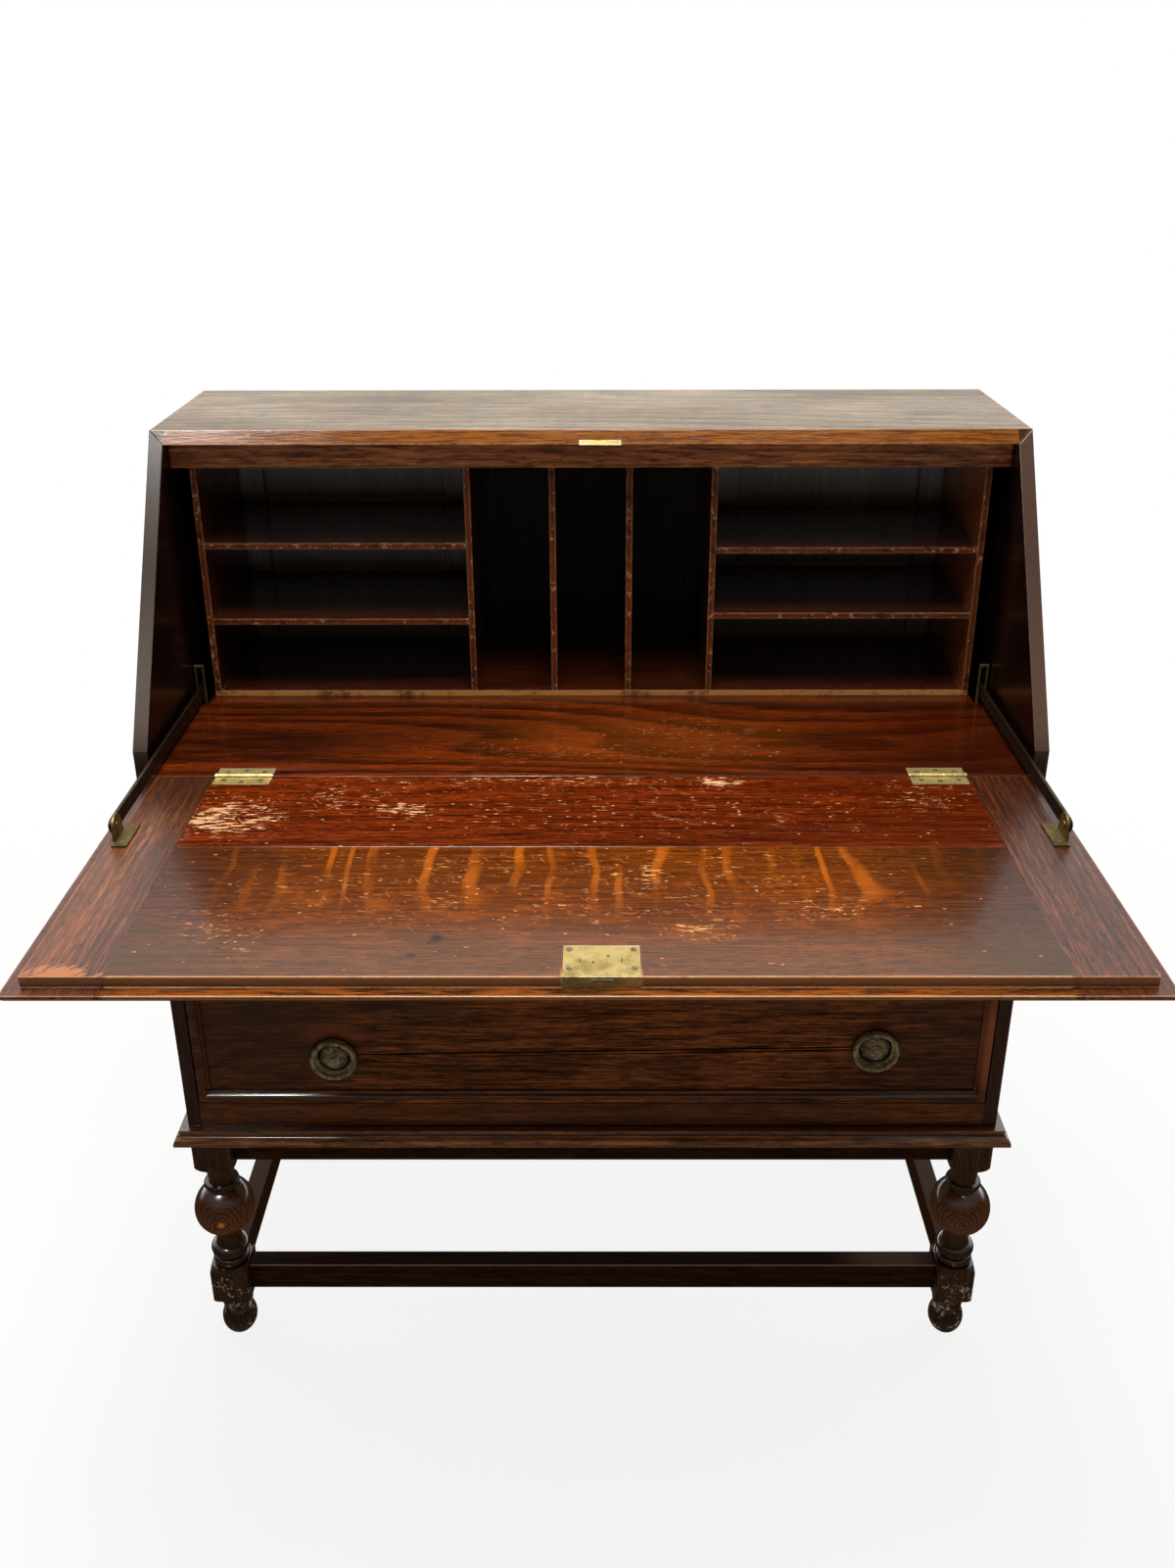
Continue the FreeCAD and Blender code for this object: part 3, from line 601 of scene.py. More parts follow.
frontSpec = oakSpec(
    dark=(66, 25, 3), light=(160, 77, 15), deep=(30, 12, 2), mottle=0.35, pores=0.7, fibre=0.6,
    gloss=0.10, specular=0.4, coat=0.12, coatRough=0.06, offset=(0.9, 0.4, 0.0),
    worn=(222, 164, 110), edge=1.0, edgeWidth=0.004, rings=90.0, sweep=0.06, ringShare=0.2,
    wornEdge=(-0.3605, -0.356, 1.0, 0.08), lip=(44, 18, 7), lipAmount=1.0, lipGold=1.0,
    ends=(0.20, 0.37), endSides=(0.0, 0.4, 0.5, 0.75), endColour=(48, 26, 13),
    dull=(84, 62, 36), dullBand=(-0.26, -0.34, 0.0, 0.45), scattered=0.1,
    flake=(222, 156, 86), scratch=(196, 124, 62),
    marks=[deskPatch(0.05, -0.215, 0.05, 0.035, 0.7), deskPatch(0.094, -0.304, 0.05, 0.03, 0.7),
           deskPatch(0.19, -0.272, 0.06, 0.03, 0.7), deskPatch(-0.30, -0.30, 0.06, 0.06, 0.35),
           deskPatch(-0.02, -0.23, 0.40, 0.11, 0.26)],
    ink=[deskPatch(-0.1237, -0.3154, 0.008, 0.010, 1.0, 0.02),
         deskPatch(-0.1404, -0.340, 0.007, 0.005, 0.9, 0.02),
         deskPatch(-0.128, -0.322, 0.004, 0.004, 0.9, 0.02)],
    inkColour=(24, 18, 22), inkAmount=0.85)


def dressFallFront(wood, spec):
    addFlames(wood, flameSpec)
    ends = fade(offCentre(wood), *spec["ends"])
    tintOak(wood, times(ends, fade(wood.x, *spec["endSides"])), spec["endColour"])
    # painted sheen: the board is tinted greyer towards its front edge
    tintOak(wood, fade(wood.y, *spec["dullBand"]), spec["dull"])
    addShowFace(wood)
    innerLoss(wood, spec)
    ink = times(patchMask(wood, spec["ink"]), innerFace(wood), spec["inkAmount"])
    tintOak(wood, ink, spec["inkColour"])
    addLip(wood, spec)
    near, far = lipSpec["jointClear"]
    clear = fadeOut(offCentre(wood), lipSpec["joint"] - far, lipSpec["joint"] - near)
    wood.outer = times(fade(wood.y, *spec["wornEdge"]), clear)


stileSpec = oakSpec(
    turn=alongY, dark=(58, 23, 9), light=(178, 100, 55), deep=(34, 13, 5), mottle=0.5, pores=0.75,
    gloss=0.22, specular=0.5, worn=(200, 140, 92), edge=0.9, edgeWidth=0.003, fibre=0.6,
    rings=120.0, sweep=0.03, ringShare=0.3, offset=(0.2, 0.1, 0.0),
    wornEdge=(-0.3605, -0.356, 0.7, 0.05), wornEnds=(0.435, 0.445, 0.0, 0.5),
    lip=(50, 20, 9), lipAmount=0.9, lipGold=0.25,
    glow=(106, 66, 37), glowSide=(-0.4, 0.4, 0.32, 0.0), glowUp=(0.5, 0.8),
    shade=[deskPatch(-0.385, -0.33, 0.04, 0.08, 0.5), deskPatch(-0.39, -0.05, 0.09, 0.10, 0.75),
           deskPatch(-0.383, -0.20, 0.028, 0.20, 0.6), deskPatch(0.40, -0.06, 0.08, 0.16, 0.7),
           deskPatch(0.42, -0.24, 0.12, 0.40, 0.4)],
    shadeColour=(46, 19, 9))
# bare wood at the left front corner
bareCorner = {
    "patches": [deskPatch(-0.415, -0.363, 0.042, 0.017, 1.0, 0.02),
                deskPatch(-0.370, -0.366, 0.03, 0.010, 0.8, 0.02)],
    "lean": (0.0, 0.0, -0.7), "ragged": {"stretch": (0.25, 1.0, 1.0), "scale": 260.0, "detail": 4.0,
                                         "roughness": 0.7},
    "patchShare": 0.5, "raggedShare": 1.6, "band": (1.09, 1.15), "within": (0.02, 0.15),
    "colour": (172, 102, 54)}


def bareMask(wood, spec):
    ragged = noise(mapped(wood.place, spec["lean"]), spec["ragged"])
    corner = patchMask(wood, spec["patches"])
    total = plus(times(corner, spec["patchShare"]), times(ragged, spec["raggedShare"]))
    return times(fade(total, *spec["band"]), fade(corner, *spec["within"]), innerFace(wood))


def dressFallStile(wood, spec):
    addShowFace(wood)
    glow = times(fade(wood.x, *spec["glowSide"]), fade(wood.faceZ, *spec["glowUp"]))
    tintOak(wood, glow, spec["glow"], "ADD")
    tintOak(wood, times(patchMask(wood, spec["shade"]), innerFace(wood)), spec["shadeColour"])
    wood.loss = bareMask(wood, bareCorner)
    tintOak(wood, wood.loss, bareCorner["colour"])
    addLip(wood, spec)
    near, far = lipSpec["jointClear"]
    clear = fade(offCentre(wood), lipSpec["joint"] + near, lipSpec["joint"] + far)
    worn = plus(fade(offCentre(wood), *spec["wornEnds"]), fade(wood.y, *spec["wornEdge"]))
    wood.outer = times(worn, clear)


drawerSpec = oakSpec(
    dark=(44, 19, 2), light=(156, 77, 10), deep=(24, 9, 1), fibre=0.7, mottle=0.3, pores=0.6,
    worn=(132, 84, 50), edge=0.4, gloss=0.26, specular=0.4, coat=0.2, coatRough=0.12,
    rings=48.0, sweep=0.3, ringShare=0.35, offset=(0.7, 0.3, 0.6),
    shade=[drawerPatch(-0.36, 0.445, 0.17, 0.14, 0.7), drawerPatch(-0.20, 0.50, 0.12, 0.05, 0.7),
           drawerPatch(0.40, 0.45, 0.12, 0.14, 0.5)], shadeColour=(46, 32, 20),
    glow=[drawerPatch(-0.286, 0.450, 0.05, 0.02, 0.4), drawerPatch(0.276, 0.428, 0.02, 0.02, 0.45),
          drawerPatch(0.437, 0.44, 0.012, 0.09, 0.85, -0.02)], glowColour=(142, 70, 24))
mouldSpec = dict(drawerSpec, coat=1.0, coatRough=0.18, coatIor=1.85, gloss=0.3)


def dressDrawer(wood, spec):
    tintOak(wood, patchMask(wood, spec["shade"]), spec["shadeColour"])
    tintOak(wood, patchMask(wood, spec["glow"]), spec["glowColour"])


legSpec = oakSpec(
    turn=alongZ, dark=(42, 25, 15), light=(78, 46, 26), deep=(22, 13, 8), worn=(168, 142, 114),
    edge=0.35, gloss=0.22, specular=0.5, coat=1.0, coatRough=0.13, coatIor=1.75, rings=60.0,
    sweep=0.05, ringShare=0.1, fibre=0.2, chipBand=(0.06, 0.20, 0.95, 0.2), chipColour=(176, 152, 122))
ballSpec = {
    "height": 0.193, "half": (0.026, 0.034), "glow": (118, 64, 32), "glowAmount": 0.25,
    "knot": (-0.4320, -0.0306, 0.1935), "knotReach": (0.0062, 0.02, 0.0062), "knotBand": (0.25, 0.6),
    "knotColour": (206, 116, 40), "rings": 230.0, "ringBand": (-0.2, 0.9), "ringReach": (0.018, 0.05),
    "ringColour": (142, 74, 30), "ringAmount": 0.5, "wobble": {"scale": 60.0}, "wobbleAmount": 0.014}


def addBallRings(wood, spec):
    fromMiddle = calc("ABSOLUTE", minus(wood.z, spec["height"]))
    onBall = fadeOut(fromMiddle, *spec["half"])
    wobble = times(noise(wood.place, spec["wobble"]), spec["wobbleAmount"])
    knotX, knotY, knotZ = spec["knot"]
    # each ball shows the ends of its growth rings on the front
    rings = []
    for x in (knotX, -knotX):
        away = vectorCalc("DISTANCE", wood.place, (x, knotY, knotZ))["Value"]
        turns = times(plus(away, wobble), spec["rings"])
        wave = calc("SINE", times(turns, math.tau))
        rings.append(times(fade(wave, *spec["ringBand"]), fadeOut(away, *spec["ringReach"])))
    tintOak(wood, times(onBall, spec["glowAmount"]), spec["glow"])
    tintOak(wood, times(largest(rings), onBall, spec["ringAmount"]), spec["ringColour"])
    knot = patchMask(wood, [(spec["knot"], spec["knotReach"], 1.0)])
    tintOak(wood, fade(knot, *spec["knotBand"]), spec["knotColour"])


def dressLeg(wood, spec):
    addBallRings(wood, ballSpec)
    addChips(wood, fade(wood.z, *spec["chipBand"]), spec["chipColour"])


standSpec = oakSpec(
    dark=(28, 12, 4), light=(68, 36, 14), deep=(16, 5, 1), worn=(160, 132, 104), edge=0.6,
    gloss=0.34, specular=0.05, coat=0.0, rings=60.0, upward=(0.5, 0.8),
    ends=(0.405, 0.42), endAmount=0.6, endColour=(112, 92, 76),
    scuffs=[((0.355, 0.0, 0.10), (0.075, 0.05, 0.05), 0.7)], scuffColour=(112, 94, 76),
    chipped=[((0.40, 0.0, 0.09), (0.06, 0.05, 0.05), 0.32),
             ((-0.40, 0.0, 0.09), (0.04, 0.05, 0.05), 0.2)],
    scattered=0.06, chipColour=(160, 136, 108), arris=(206, 150, 128), arrisAmount=0.7)


def dressStand(wood, spec):
    upward = fade(wood.faceZ, *spec["upward"])
    ends = fade(offCentre(wood), *spec["ends"])
    tintOak(wood, times(upward, ends, spec["endAmount"]), spec["endColour"])
    tintOak(wood, times(upward, patchMask(wood, spec["scuffs"])), spec["scuffColour"])
    addChips(wood, plus(patchMask(wood, spec["chipped"]), spec["scattered"]), spec["chipColour"])
    tintOak(wood, times(frontArris(wood), spec["arrisAmount"]), spec["arris"])


fitmentSpec = oakSpec(
    dark=(56, 20, 8), light=(96, 42, 17), deep=(28, 10, 5), worn=(200, 148, 106), edge=0.85,
    edgeWidth=0.003, gloss=0.2, coat=0.6, coatRough=0.06, wax=0.3, waxReach=0.004,
    front=(120, 58, 25), frontAmount=0.75,
    floor=(240, 164, 88), floorAmount=0.9, floorBand=(0.781, 0.783),
    grime={"stretch": (0.6, 1.0, 0.6), "scale": 70.0, "detail": 5.0, "roughness": 0.7,
           "band": (0.36, 0.52, 0.75, 0.0)}, grimeColour=(44, 18, 8),
    rub={"scale": 170.0, "detail": 4.0, "roughness": 0.7, "band": (0.57, 0.66)},
    rubColour=(226, 172, 124), rubAmount=0.75,
    right=(0.38, 0.41), rightFacing=(-0.7, -0.4), rightColour=(158, 84, 42), rightAmount=0.85)


def dressFitment(wood, spec):
    place = wood.place
    front = facingFront(wood)
    tintOak(wood, times(front, spec["frontAmount"]), spec["front"])
    # pale front edge of the fitment floor: worn, and made paler still as painted light
    floor = fadeOut(wood.z, *spec["floorBand"])
    tintOak(wood, times(front, floor, spec["floorAmount"]), spec["floor"])
    tintOak(wood, times(noiseMask(place, spec["grime"]), front), spec["grimeColour"])
    tintOak(wood, times(noiseMask(place, spec["rub"]), front, spec["rubAmount"]), spec["rubColour"])
    # painted light: the right end board is paler on its inner face, as if lit from the left
    right = times(fade(wood.x, *spec["right"]), fadeOut(wood.faceX, *spec["rightFacing"]))
    tintOak(wood, times(right, spec["rightAmount"]), spec["rightColour"])


backSpec = oakSpec(
    turn=alongZ, dark=(158, 158, 158), light=(184, 183, 182), deep=(124, 124, 124), pores=0.3,
    fibre=0.2, gloss=0.6, specular=0.2, coat=0.0, edge=0.2, framed=False, rails=(0.392, 1.018),
    outerDark=(74, 48, 30), outerLight=(118, 82, 54), outerFacing=(0.2, 0.6, 0.0, 0.95),
    panel=(58, 38, 24), panelAmount=0.55, slots=(0.128, 0.14, 0.9, 0.0), slotColour=(16, 14, 13))
frameSpec = dict(backSpec, framed=True)


def dressBack(wood, spec):
    bands = wood.grain["Bands"]
    if spec["framed"]:
        bottom, top = spec["rails"]
        rail = largest([calc("LESS_THAN", wood.z, bottom), calc("GREATER_THAN", wood.z, top)])
        bands = mixValue(rail, bands, useGrain(wood.place, spec)["Bands"])
    outer = layer(bands, paint(*spec["outerDark"]), paint(*spec["outerLight"]))
    if not spec["framed"]:
        outer = layer(spec["panelAmount"], outer, paint(*spec["panel"]))
    wood.colour = layer(fade(wood.faceY, *spec["outerFacing"]), wood.colour, outer)
    # painted shade: dark behind the upright slots
    behind = fade(offCentre(wood), *spec["slots"])
    tintOak(wood, times(behind, facingFront(wood)), spec["slotColour"])


baseSpec = oakSpec(
    dark=(96, 52, 26), light=(158, 98, 54), deep=(50, 25, 12), worn=(150, 98, 60), edge=0.45,
    gloss=0.2, coat=1.0, coatRough=0.2, coatIor=1.85, specular=0.5,
    rollFrom=(0.15, 0.4), rollTo=(0.85, 0.97), rollColour=(198, 128, 76), rollAmount=0.8,
    patchy={"stretch": (0.15, 1.0, 1.0), "scale": 90.0, "detail": 5.0, "roughness": 0.7,
            "band": (0.40, 0.62)})


def dressBase(wood, spec):
    # painted highlight: paler patches along the upward-facing rounded front of the moulding
    roll = times(fade(wood.faceZ, *spec["rollFrom"]), fadeOut(wood.faceZ, *spec["rollTo"]))
    patchy = noiseMask(wood.place, spec["patchy"])
    tintOak(wood, times(roll, patchy, spec["rollAmount"]), spec["rollColour"])


caseSpec = oakSpec(dark=(48, 24, 12), light=(76, 40, 20), deep=(28, 13, 7), worn=(128, 84, 54), edge=0.5)
# painted light: the header rail's tones are much brighter than the case, standing in for the light on it
headerSpec = oakSpec(
    dark=(104, 48, 15), light=(232, 142, 68), deep=(54, 24, 8), worn=(140, 92, 58), edge=0.6,
    rings=60.0, ringShare=0.3, offset=(0.1, 0.2, 0.5))
railSpec = oakSpec(
    dark=(66, 32, 5), light=(134, 68, 14), deep=(40, 17, 4), fibre=0.5, worn=(132, 84, 50), edge=0.5,
    coat=0.3, coatRough=0.12, offset=(0.4, 0.2, 0.5))
plainSpec = oakSpec(
    dark=(150, 116, 78), light=(182, 148, 106), deep=(120, 88, 56), worn=(196, 164, 124), edge=0.2,
    gloss=0.6, specular=0.2, coat=0.0, rings=60.0, bump=0.08, sideways=(0.5, 0.7))


def dressPlain(wood, spec):
    # drawer sides have their grain from front to back
    grain = useGrain(mapped(wood.place, alongY), spec)
    side = layer(grain["Bands"], paint(*spec["dark"]), paint(*spec["light"]))
    side = layer(times(grain["Pores"], spec["pores"]), side, paint(*spec["deep"]))
    sideways = fade(calc("ABSOLUTE", wood.faceX), *spec["sideways"])
    wood.colour = layer(sideways, wood.colour, side)


# metal finishes

metalSpec = {"rubWidth": 0.0012, "stainRough": 0.2, "brushRough": 0.08, "bump": 0.08, "bumpDistance": 0.0003}


def makeBrass(name, spec):
    material, shader, sources = startMaterial(name)
    place = sources["Object"]
    marks = useGroup(patina, {"Vector": place, "Scale": spec["scale"]})
    stained = times(marks["Stain"], spec["amount"])
    colour = layer(stained, paint(*spec["bright"]), paint(*spec["stain"]))
    if "recess" in spec:
        colour = layer(fade(split(place)[1], *spec["recess"]), colour, paint(*spec["grime"]))
    wear = {"Vector": place, "Width": metalSpec["rubWidth"], "Amount": spec["rub"]}
    # rubbed edges: worn metal, paler still as a painted highlight
    colour = layer(useGroup(edgeWear, wear)["Mask"], colour, paint(*spec["rubbed"]))
    rough = plus(spec["rough"], times(marks["Stain"], metalSpec["stainRough"]),
                 times(marks["Brush"], metalSpec["brushRough"]))
    bump = {"Height": marks["Brush"], "Strength": metalSpec["bump"], "Distance": metalSpec["bumpDistance"]}
    setInputs(shader, {"Base Color": colour, "Roughness": rough, "Metallic": spec["metal"],
                       "Normal": useNode("ShaderNodeBump", bump).outputs[0]})
    return material


brightBrass = {
    "bright": (206, 184, 118), "stain": (92, 74, 38), "rubbed": (255, 248, 224), "amount": 0.7,
    "rough": 0.36, "scale": 60.0, "metal": 0.75, "rub": 0.8}
lockBrass = dict(brightBrass, bright=(186, 156, 78), stain=(104, 80, 34))
strikeBrass = dict(brightBrass, bright=(188, 164, 92), stain=(140, 116, 58))
stayBrass = {
    "bright": (132, 114, 70), "stain": (44, 36, 23), "rubbed": (176, 158, 116), "amount": 0.7,
    "rough": 0.38, "scale": 60.0, "metal": 0.85, "rub": 0.5}
barBrass = dict(stayBrass, bright=(58, 45, 29), stain=(26, 19, 12), rubbed=(150, 132, 94))
darkBrass = {
    "bright": (172, 152, 105), "stain": (32, 25, 15), "rubbed": (250, 238, 198), "amount": 0.9,
    "rough": 0.24, "scale": 220.0, "metal": 0.4, "rub": 0.75,
    "recess": (-0.0184, -0.0168), "grime": (11, 8, 5)}
screwSteel = {
    "bright": (150, 136, 112), "stain": (66, 52, 38), "rubbed": (208, 196, 168), "amount": 0.8,
    "rough": 0.4, "scale": 260.0, "metal": 0.85, "rub": 0.6}
markSteel = dict(screwSteel, bright=(92, 76, 44), stain=(44, 34, 18), rubbed=(140, 120, 74))

finishes = {
    "oak_top": makeOak("oakTop", topSpec, dressTop),
    "oak_case": makeOak("oakCase", caseSpec),
    "oak_bed": makeOak("oakBed", bedSpec, dressBed),
    "oak_fall_rear": makeOak("oakFallRear", rearSpec, dressFallRear),
    "oak_fall_figured": makeOak("oakFallFront", frontSpec, dressFallFront),
    "oak_fall_stile": makeOak("oakFallStile", stileSpec, dressFallStile),
    "oak_fitment": makeOak("oakFitment", fitmentSpec, dressFitment),
    "oak_back": makeOak("oakBackPanel", backSpec, dressBack),
    "oak_stand": makeOak("oakStand", standSpec, dressStand),
    "oak_drawer": makeOak("oakDrawer", drawerSpec, dressDrawer),
    "plain_wood": makeOak("plainWood", plainSpec, dressPlain),
    "brass_bright": makeBrass("brassBright", brightBrass),
    "brass_lock": makeBrass("brassLock", lockBrass),
    "brass_stay": makeBrass("brassStay", stayBrass),
    "brass_dark": makeBrass("brassDark", darkBrass),
}
# nodes whose finish isn't their slot's, by the start of their name
ownFinish = {
    "side_": makeOak("oakSide", sideSpec, dressSide),
    "leg_": makeOak("oakLeg", legSpec, dressLeg),
    "back_frame": makeOak("oakBackFrame", frameSpec, dressBack),
    "header_rail": makeOak("oakHeader", headerSpec),
    "bottom_rail": makeOak("oakRail", railSpec),
    "base_moulding": makeOak("oakBase", baseSpec, dressBase),
    "drawer_moulding": makeOak("oakMoulding", mouldSpec, dressDrawer),
    "strike_plate": makeBrass("brassStrike", strikeBrass),
    "stay_bar": makeBrass("brassBar", barBrass),
}
screwMetal = makeBrass("screwSteel", screwSteel)
markMetal = makeBrass("lockMarks", markSteel)
slotOf = {entry["node"]: entry["material_slot"] for entry in frame["record"]["subparts"]}
for name, node in nodes.items():
    own = [finish for start, finish in ownFinish.items() if name.startswith(start)]
    node.data.materials.clear()
    node.data.materials.append(own[0] if own else finishes[slotOf[name]])
print("finishes ready,", len(bpy.data.materials), "materials")

# softened edges, by the kind of material
easeSpec = {
    "width": {"oak": 0.0009, "plain": 0.0005, "brass": 0.0002}, "segments": 2, "angle": 35.0,
    "without": ("leg_", "pull_", "hinge_")}
for name, node in nodes.items():
    if name.startswith(easeSpec["without"]):
        continue
    weld = node.modifiers.new("weld", "WELD")
    weld.merge_threshold = weldDistance
    ease = node.modifiers.new("ease", "BEVEL")
    ease.width = easeSpec["width"][slotOf[name].split("_")[0]]
    ease.segments = easeSpec["segments"]
    ease.limit_method = "ANGLE"
    ease.angle_limit = math.radians(easeSpec["angle"])
    ease.harden_normals = False
print("edges eased")


# metalwork modelled here: rosettes, screws and the lock's rivets, in millimetres

smoothAngle = 40.0


def addObject(name, data):
    thing = bpy.data.objects.new(name, data)
    bpy.context.scene.collection.objects.link(thing)
    return thing


def finishPiece(name, shape, material, body):
    bmesh.ops.remove_doubles(shape, verts=shape.verts, dist=weldDistance)
    bmesh.ops.recalc_face_normals(shape, faces=shape.faces)
    for face in shape.faces:
        face.smooth = True
    for edge in shape.edges:
        edge.smooth = len(edge.link_faces) == 2 and edge.calc_face_angle() < math.radians(smoothAngle)
    mesh = bpy.data.meshes.new(name)
    shape.to_mesh(mesh)
    shape.free()
    mesh.materials.append(material)
    piece = addObject(name, mesh)
    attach(piece, body)
    return piece


def addCopies(shape, part, places):
    mesh = bpy.data.meshes.new("copyOnce")
    part.to_mesh(mesh)
    part.free()
    for place in places:
        copy = mesh.copy()
        copy.transform(place)
        shape.from_mesh(copy)
        bpy.data.meshes.remove(copy)
    bpy.data.meshes.remove(mesh)


def easeEdges(part, width):
    bmesh.ops.bevel(part, geom=part.edges[:], offset=width, segments=2, profile=0.5, affect="EDGES", material=-1)


def addCone(shape, place, lowRadius, highRadius, depth, segments=20, bevel=0.0):
    cone = bmesh.new()
    bmesh.ops.create_cone(cone, cap_ends=True, segments=segments, radius1=lowRadius, radius2=highRadius, depth=depth)
    if bevel:
        easeEdges(cone, bevel)
    addCopies(shape, cone, [Matrix.Translation(place)])


rosetteSpec = {
    "steps": 72,
    # radius and height, from the rim to the top of the boss
    "profile": [(24.5, 0.0), (24.5, 1.6), (23.9, 2.5), (22.8, 2.9), (21.6, 2.6), (20.4, 2.4), (19.4, 2.7), (18.8, 2.3),
                (18.4, 1.0), (15.9, 0.7), (15.2, 1.3), (10.2, 1.9), (9.6, 3.0), (8.7, 3.7), (7.7, 3.4), (7.1, 3.6),
                (6.7, 5.0), (5.6, 5.8), (4.4, 5.9), (4.1, 6.9), (3.2, 7.9), (1.8, 8.3), (0.0, 8.4)],
    "beads": 52, "beadRing": 21.0, "beadHeight": 2.4, "beadSize": 1.15,
    "petals": 26, "petalRing": 12.4, "petalHeight": 1.7, "petalTilt": 0.06, "petalSize": (3.3, 1.2, 1.5),
}


def ringPlaces(count, radius, height, shift=0.0, tilt=0.0):
    return [Matrix.Rotation(math.tau * (step + shift) / count, 4, "Z")
            @ Matrix.Translation((radius * mm, 0, height * mm)) @ Matrix.Rotation(tilt, 4, "Y")
            for step in range(count)]


def makeRosette(spec):
    shape = bmesh.new()
    points = [shape.verts.new((radius * mm, 0.0, height * mm)) for radius, height in spec["profile"]]
    edges = [shape.edges.new(pair) for pair in zip(points, points[1:])]
    bmesh.ops.spin(shape, geom=points + edges, cent=(0, 0, 0), axis=(0, 0, 1), angle=math.tau, steps=spec["steps"],
                   use_merge=True)
    bmesh.ops.remove_doubles(shape, verts=shape.verts, dist=weldDistance)
    bmesh.ops.contextual_create(shape, geom=[edge for edge in shape.edges if edge.is_boundary])
    bead = bmesh.new()
    bmesh.ops.create_icosphere(bead, subdivisions=1, radius=spec["beadSize"] * mm)
    addCopies(shape, bead, ringPlaces(spec["beads"], spec["beadRing"], spec["beadHeight"]))
    petal = bmesh.new()
    bmesh.ops.create_uvsphere(petal, u_segments=10, v_segments=6, radius=1.0)
    bmesh.ops.scale(petal, vec=[size * mm for size in spec["petalSize"]], verts=petal.verts)
    addCopies(shape, petal, ringPlaces(spec["petals"], spec["petalRing"], spec["petalHeight"], 0.5, spec["petalTilt"]))
    return shape


pullSpec = {
    "wire": 2.6, "ringLift": 2.4, "eyeRing": 3.75, "eyeWire": 0.85, "eyeSteps": 28, "wireSides": 12,
    "post": (2.4, 1.3), "postSunk": 0.6, "shank": 2.5, "shankInside": 1.0, "shankPast": 6.0,
    "nut": 7.0, "nutThick": 4.0, "nutBevel": 0.4, "frontThick": 18.0}


def makePullMount(spec, ringRadius):
    # the eye that holds the ring, its post, and the bolt with its nut behind the drawer front
    shape = bmesh.new()
    wireHeight = (2 * spec["wire"] + spec["ringLift"]) * mm
    turned = Matrix.Translation((0, ringRadius, wireHeight + spec["eyeRing"] * mm)) @ Matrix.Rotation(quarter, 4, "X")
    circle = bmesh.ops.create_circle(shape, segments=spec["wireSides"], radius=spec["eyeWire"] * mm, matrix=turned)
    loop = circle["verts"] + list({edge for vert in circle["verts"] for edge in vert.link_edges})
    bmesh.ops.spin(shape, geom=loop, cent=(0, ringRadius, wireHeight), axis=(1, 0, 0), angle=math.tau,
                   steps=spec["eyeSteps"], use_merge=True)
    postHeight = wireHeight - spec["eyeRing"] * mm
    low, high = spec["post"]
    addCone(shape, (0, ringRadius, postHeight / 2), low * mm, high * mm, postHeight + spec["postSunk"] * mm)
    thick, shank = spec["frontThick"] * mm, spec["shank"] * mm
    inside, past = spec["shankInside"] * mm, spec["shankPast"] * mm
    addCone(shape, (0, 0, (inside - thick - past) / 2), shank, shank, thick + inside + past)
    nut, nutThick = spec["nut"] * mm, spec["nutThick"] * mm
    addCone(shape, (0, 0, -thick - nutThick / 2), nut, nut, nutThick, 6, spec["nutBevel"] * mm)
    return shape


for drawerName in ("lower", "middle", "upper"):
    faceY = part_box("drawer_front_" + drawerName)[0][1]
    places = []
    for side in ("left", "right"):
        low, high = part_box("pull_ring_%s_%s" % (side, drawerName))
        centre = ((low[0] + high[0]) / 2, faceY, (low[2] + high[2]) / 2)
        places.append(Matrix.Translation(centre) @ Matrix.Rotation(quarter, 4, "X"))
    ringRadius = (high[0] - low[0]) / 2 - pullSpec["wire"] * mm
    pulls = bmesh.new()
    addCopies(pulls, makeRosette(rosetteSpec), places)
    addCopies(pulls, makePullMount(pullSpec, ringRadius), places)
    body = "drawer_" + drawerName
    rosettes = finishPiece("rosettes_" + drawerName, pulls, finishes["brass_dark"], body)
    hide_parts("pull_plates_" + drawerName)
print("rosettes ready")


screwSpec = {"sides": 24, "taper": 0.88, "thick": 0.5, "slot": 0.8, "slotDeep": 0.45}


def makeScrew(radius, spec):
    shape = bmesh.new()
    bmesh.ops.create_cone(shape, cap_ends=True, segments=spec["sides"], radius1=radius * mm,
                          radius2=spec["taper"] * radius * mm, depth=spec["thick"] * mm)
    half = spec["slot"] / 2 * mm
    for side in (-1, 1):
        geom = shape.verts[:] + shape.edges[:] + shape.faces[:]
        bmesh.ops.bisect_plane(shape, geom=geom, plane_co=(0, side * half, 0), plane_no=(0, 1, 0))
    crown = [face for face in shape.faces if face.normal.z > 0.9 and abs(face.calc_center_median().y) > half]
    raised = bmesh.ops.extrude_face_region(shape, geom=crown)
    verts = [item for item in raised["geom"] if isinstance(item, bmesh.types.BMVert)]
    bmesh.ops.delete(shape, geom=crown, context="FACES_ONLY")
    bmesh.ops.translate(shape, vec=(0, 0, spec["slotDeep"] * mm), verts=verts)
    return shape


def screwPiece(name, body, spots, radius):
    shape = bmesh.new()
    places = [Matrix.Translation((x, y, z)) @ Matrix.Rotation(math.radians(turn), 4, "Z") for x, y, z, turn in spots]
    addCopies(shape, makeScrew(radius, screwSpec), places)
    finishPiece(name, shape, screwMetal, body)


# three screws in each hinge leaf, the middle one further from the knuckles
leafSpec = {
    "half": 29.0, "pitch": 18.5, "radius": 2.9, "sideTurn": 25,
    "screws": [(-1, 9.0, 35), (0, 12.0, -20), (1, 9.0, 70)]}
pinLow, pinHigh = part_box("hinge_pins")
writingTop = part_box("bed")[1][2]


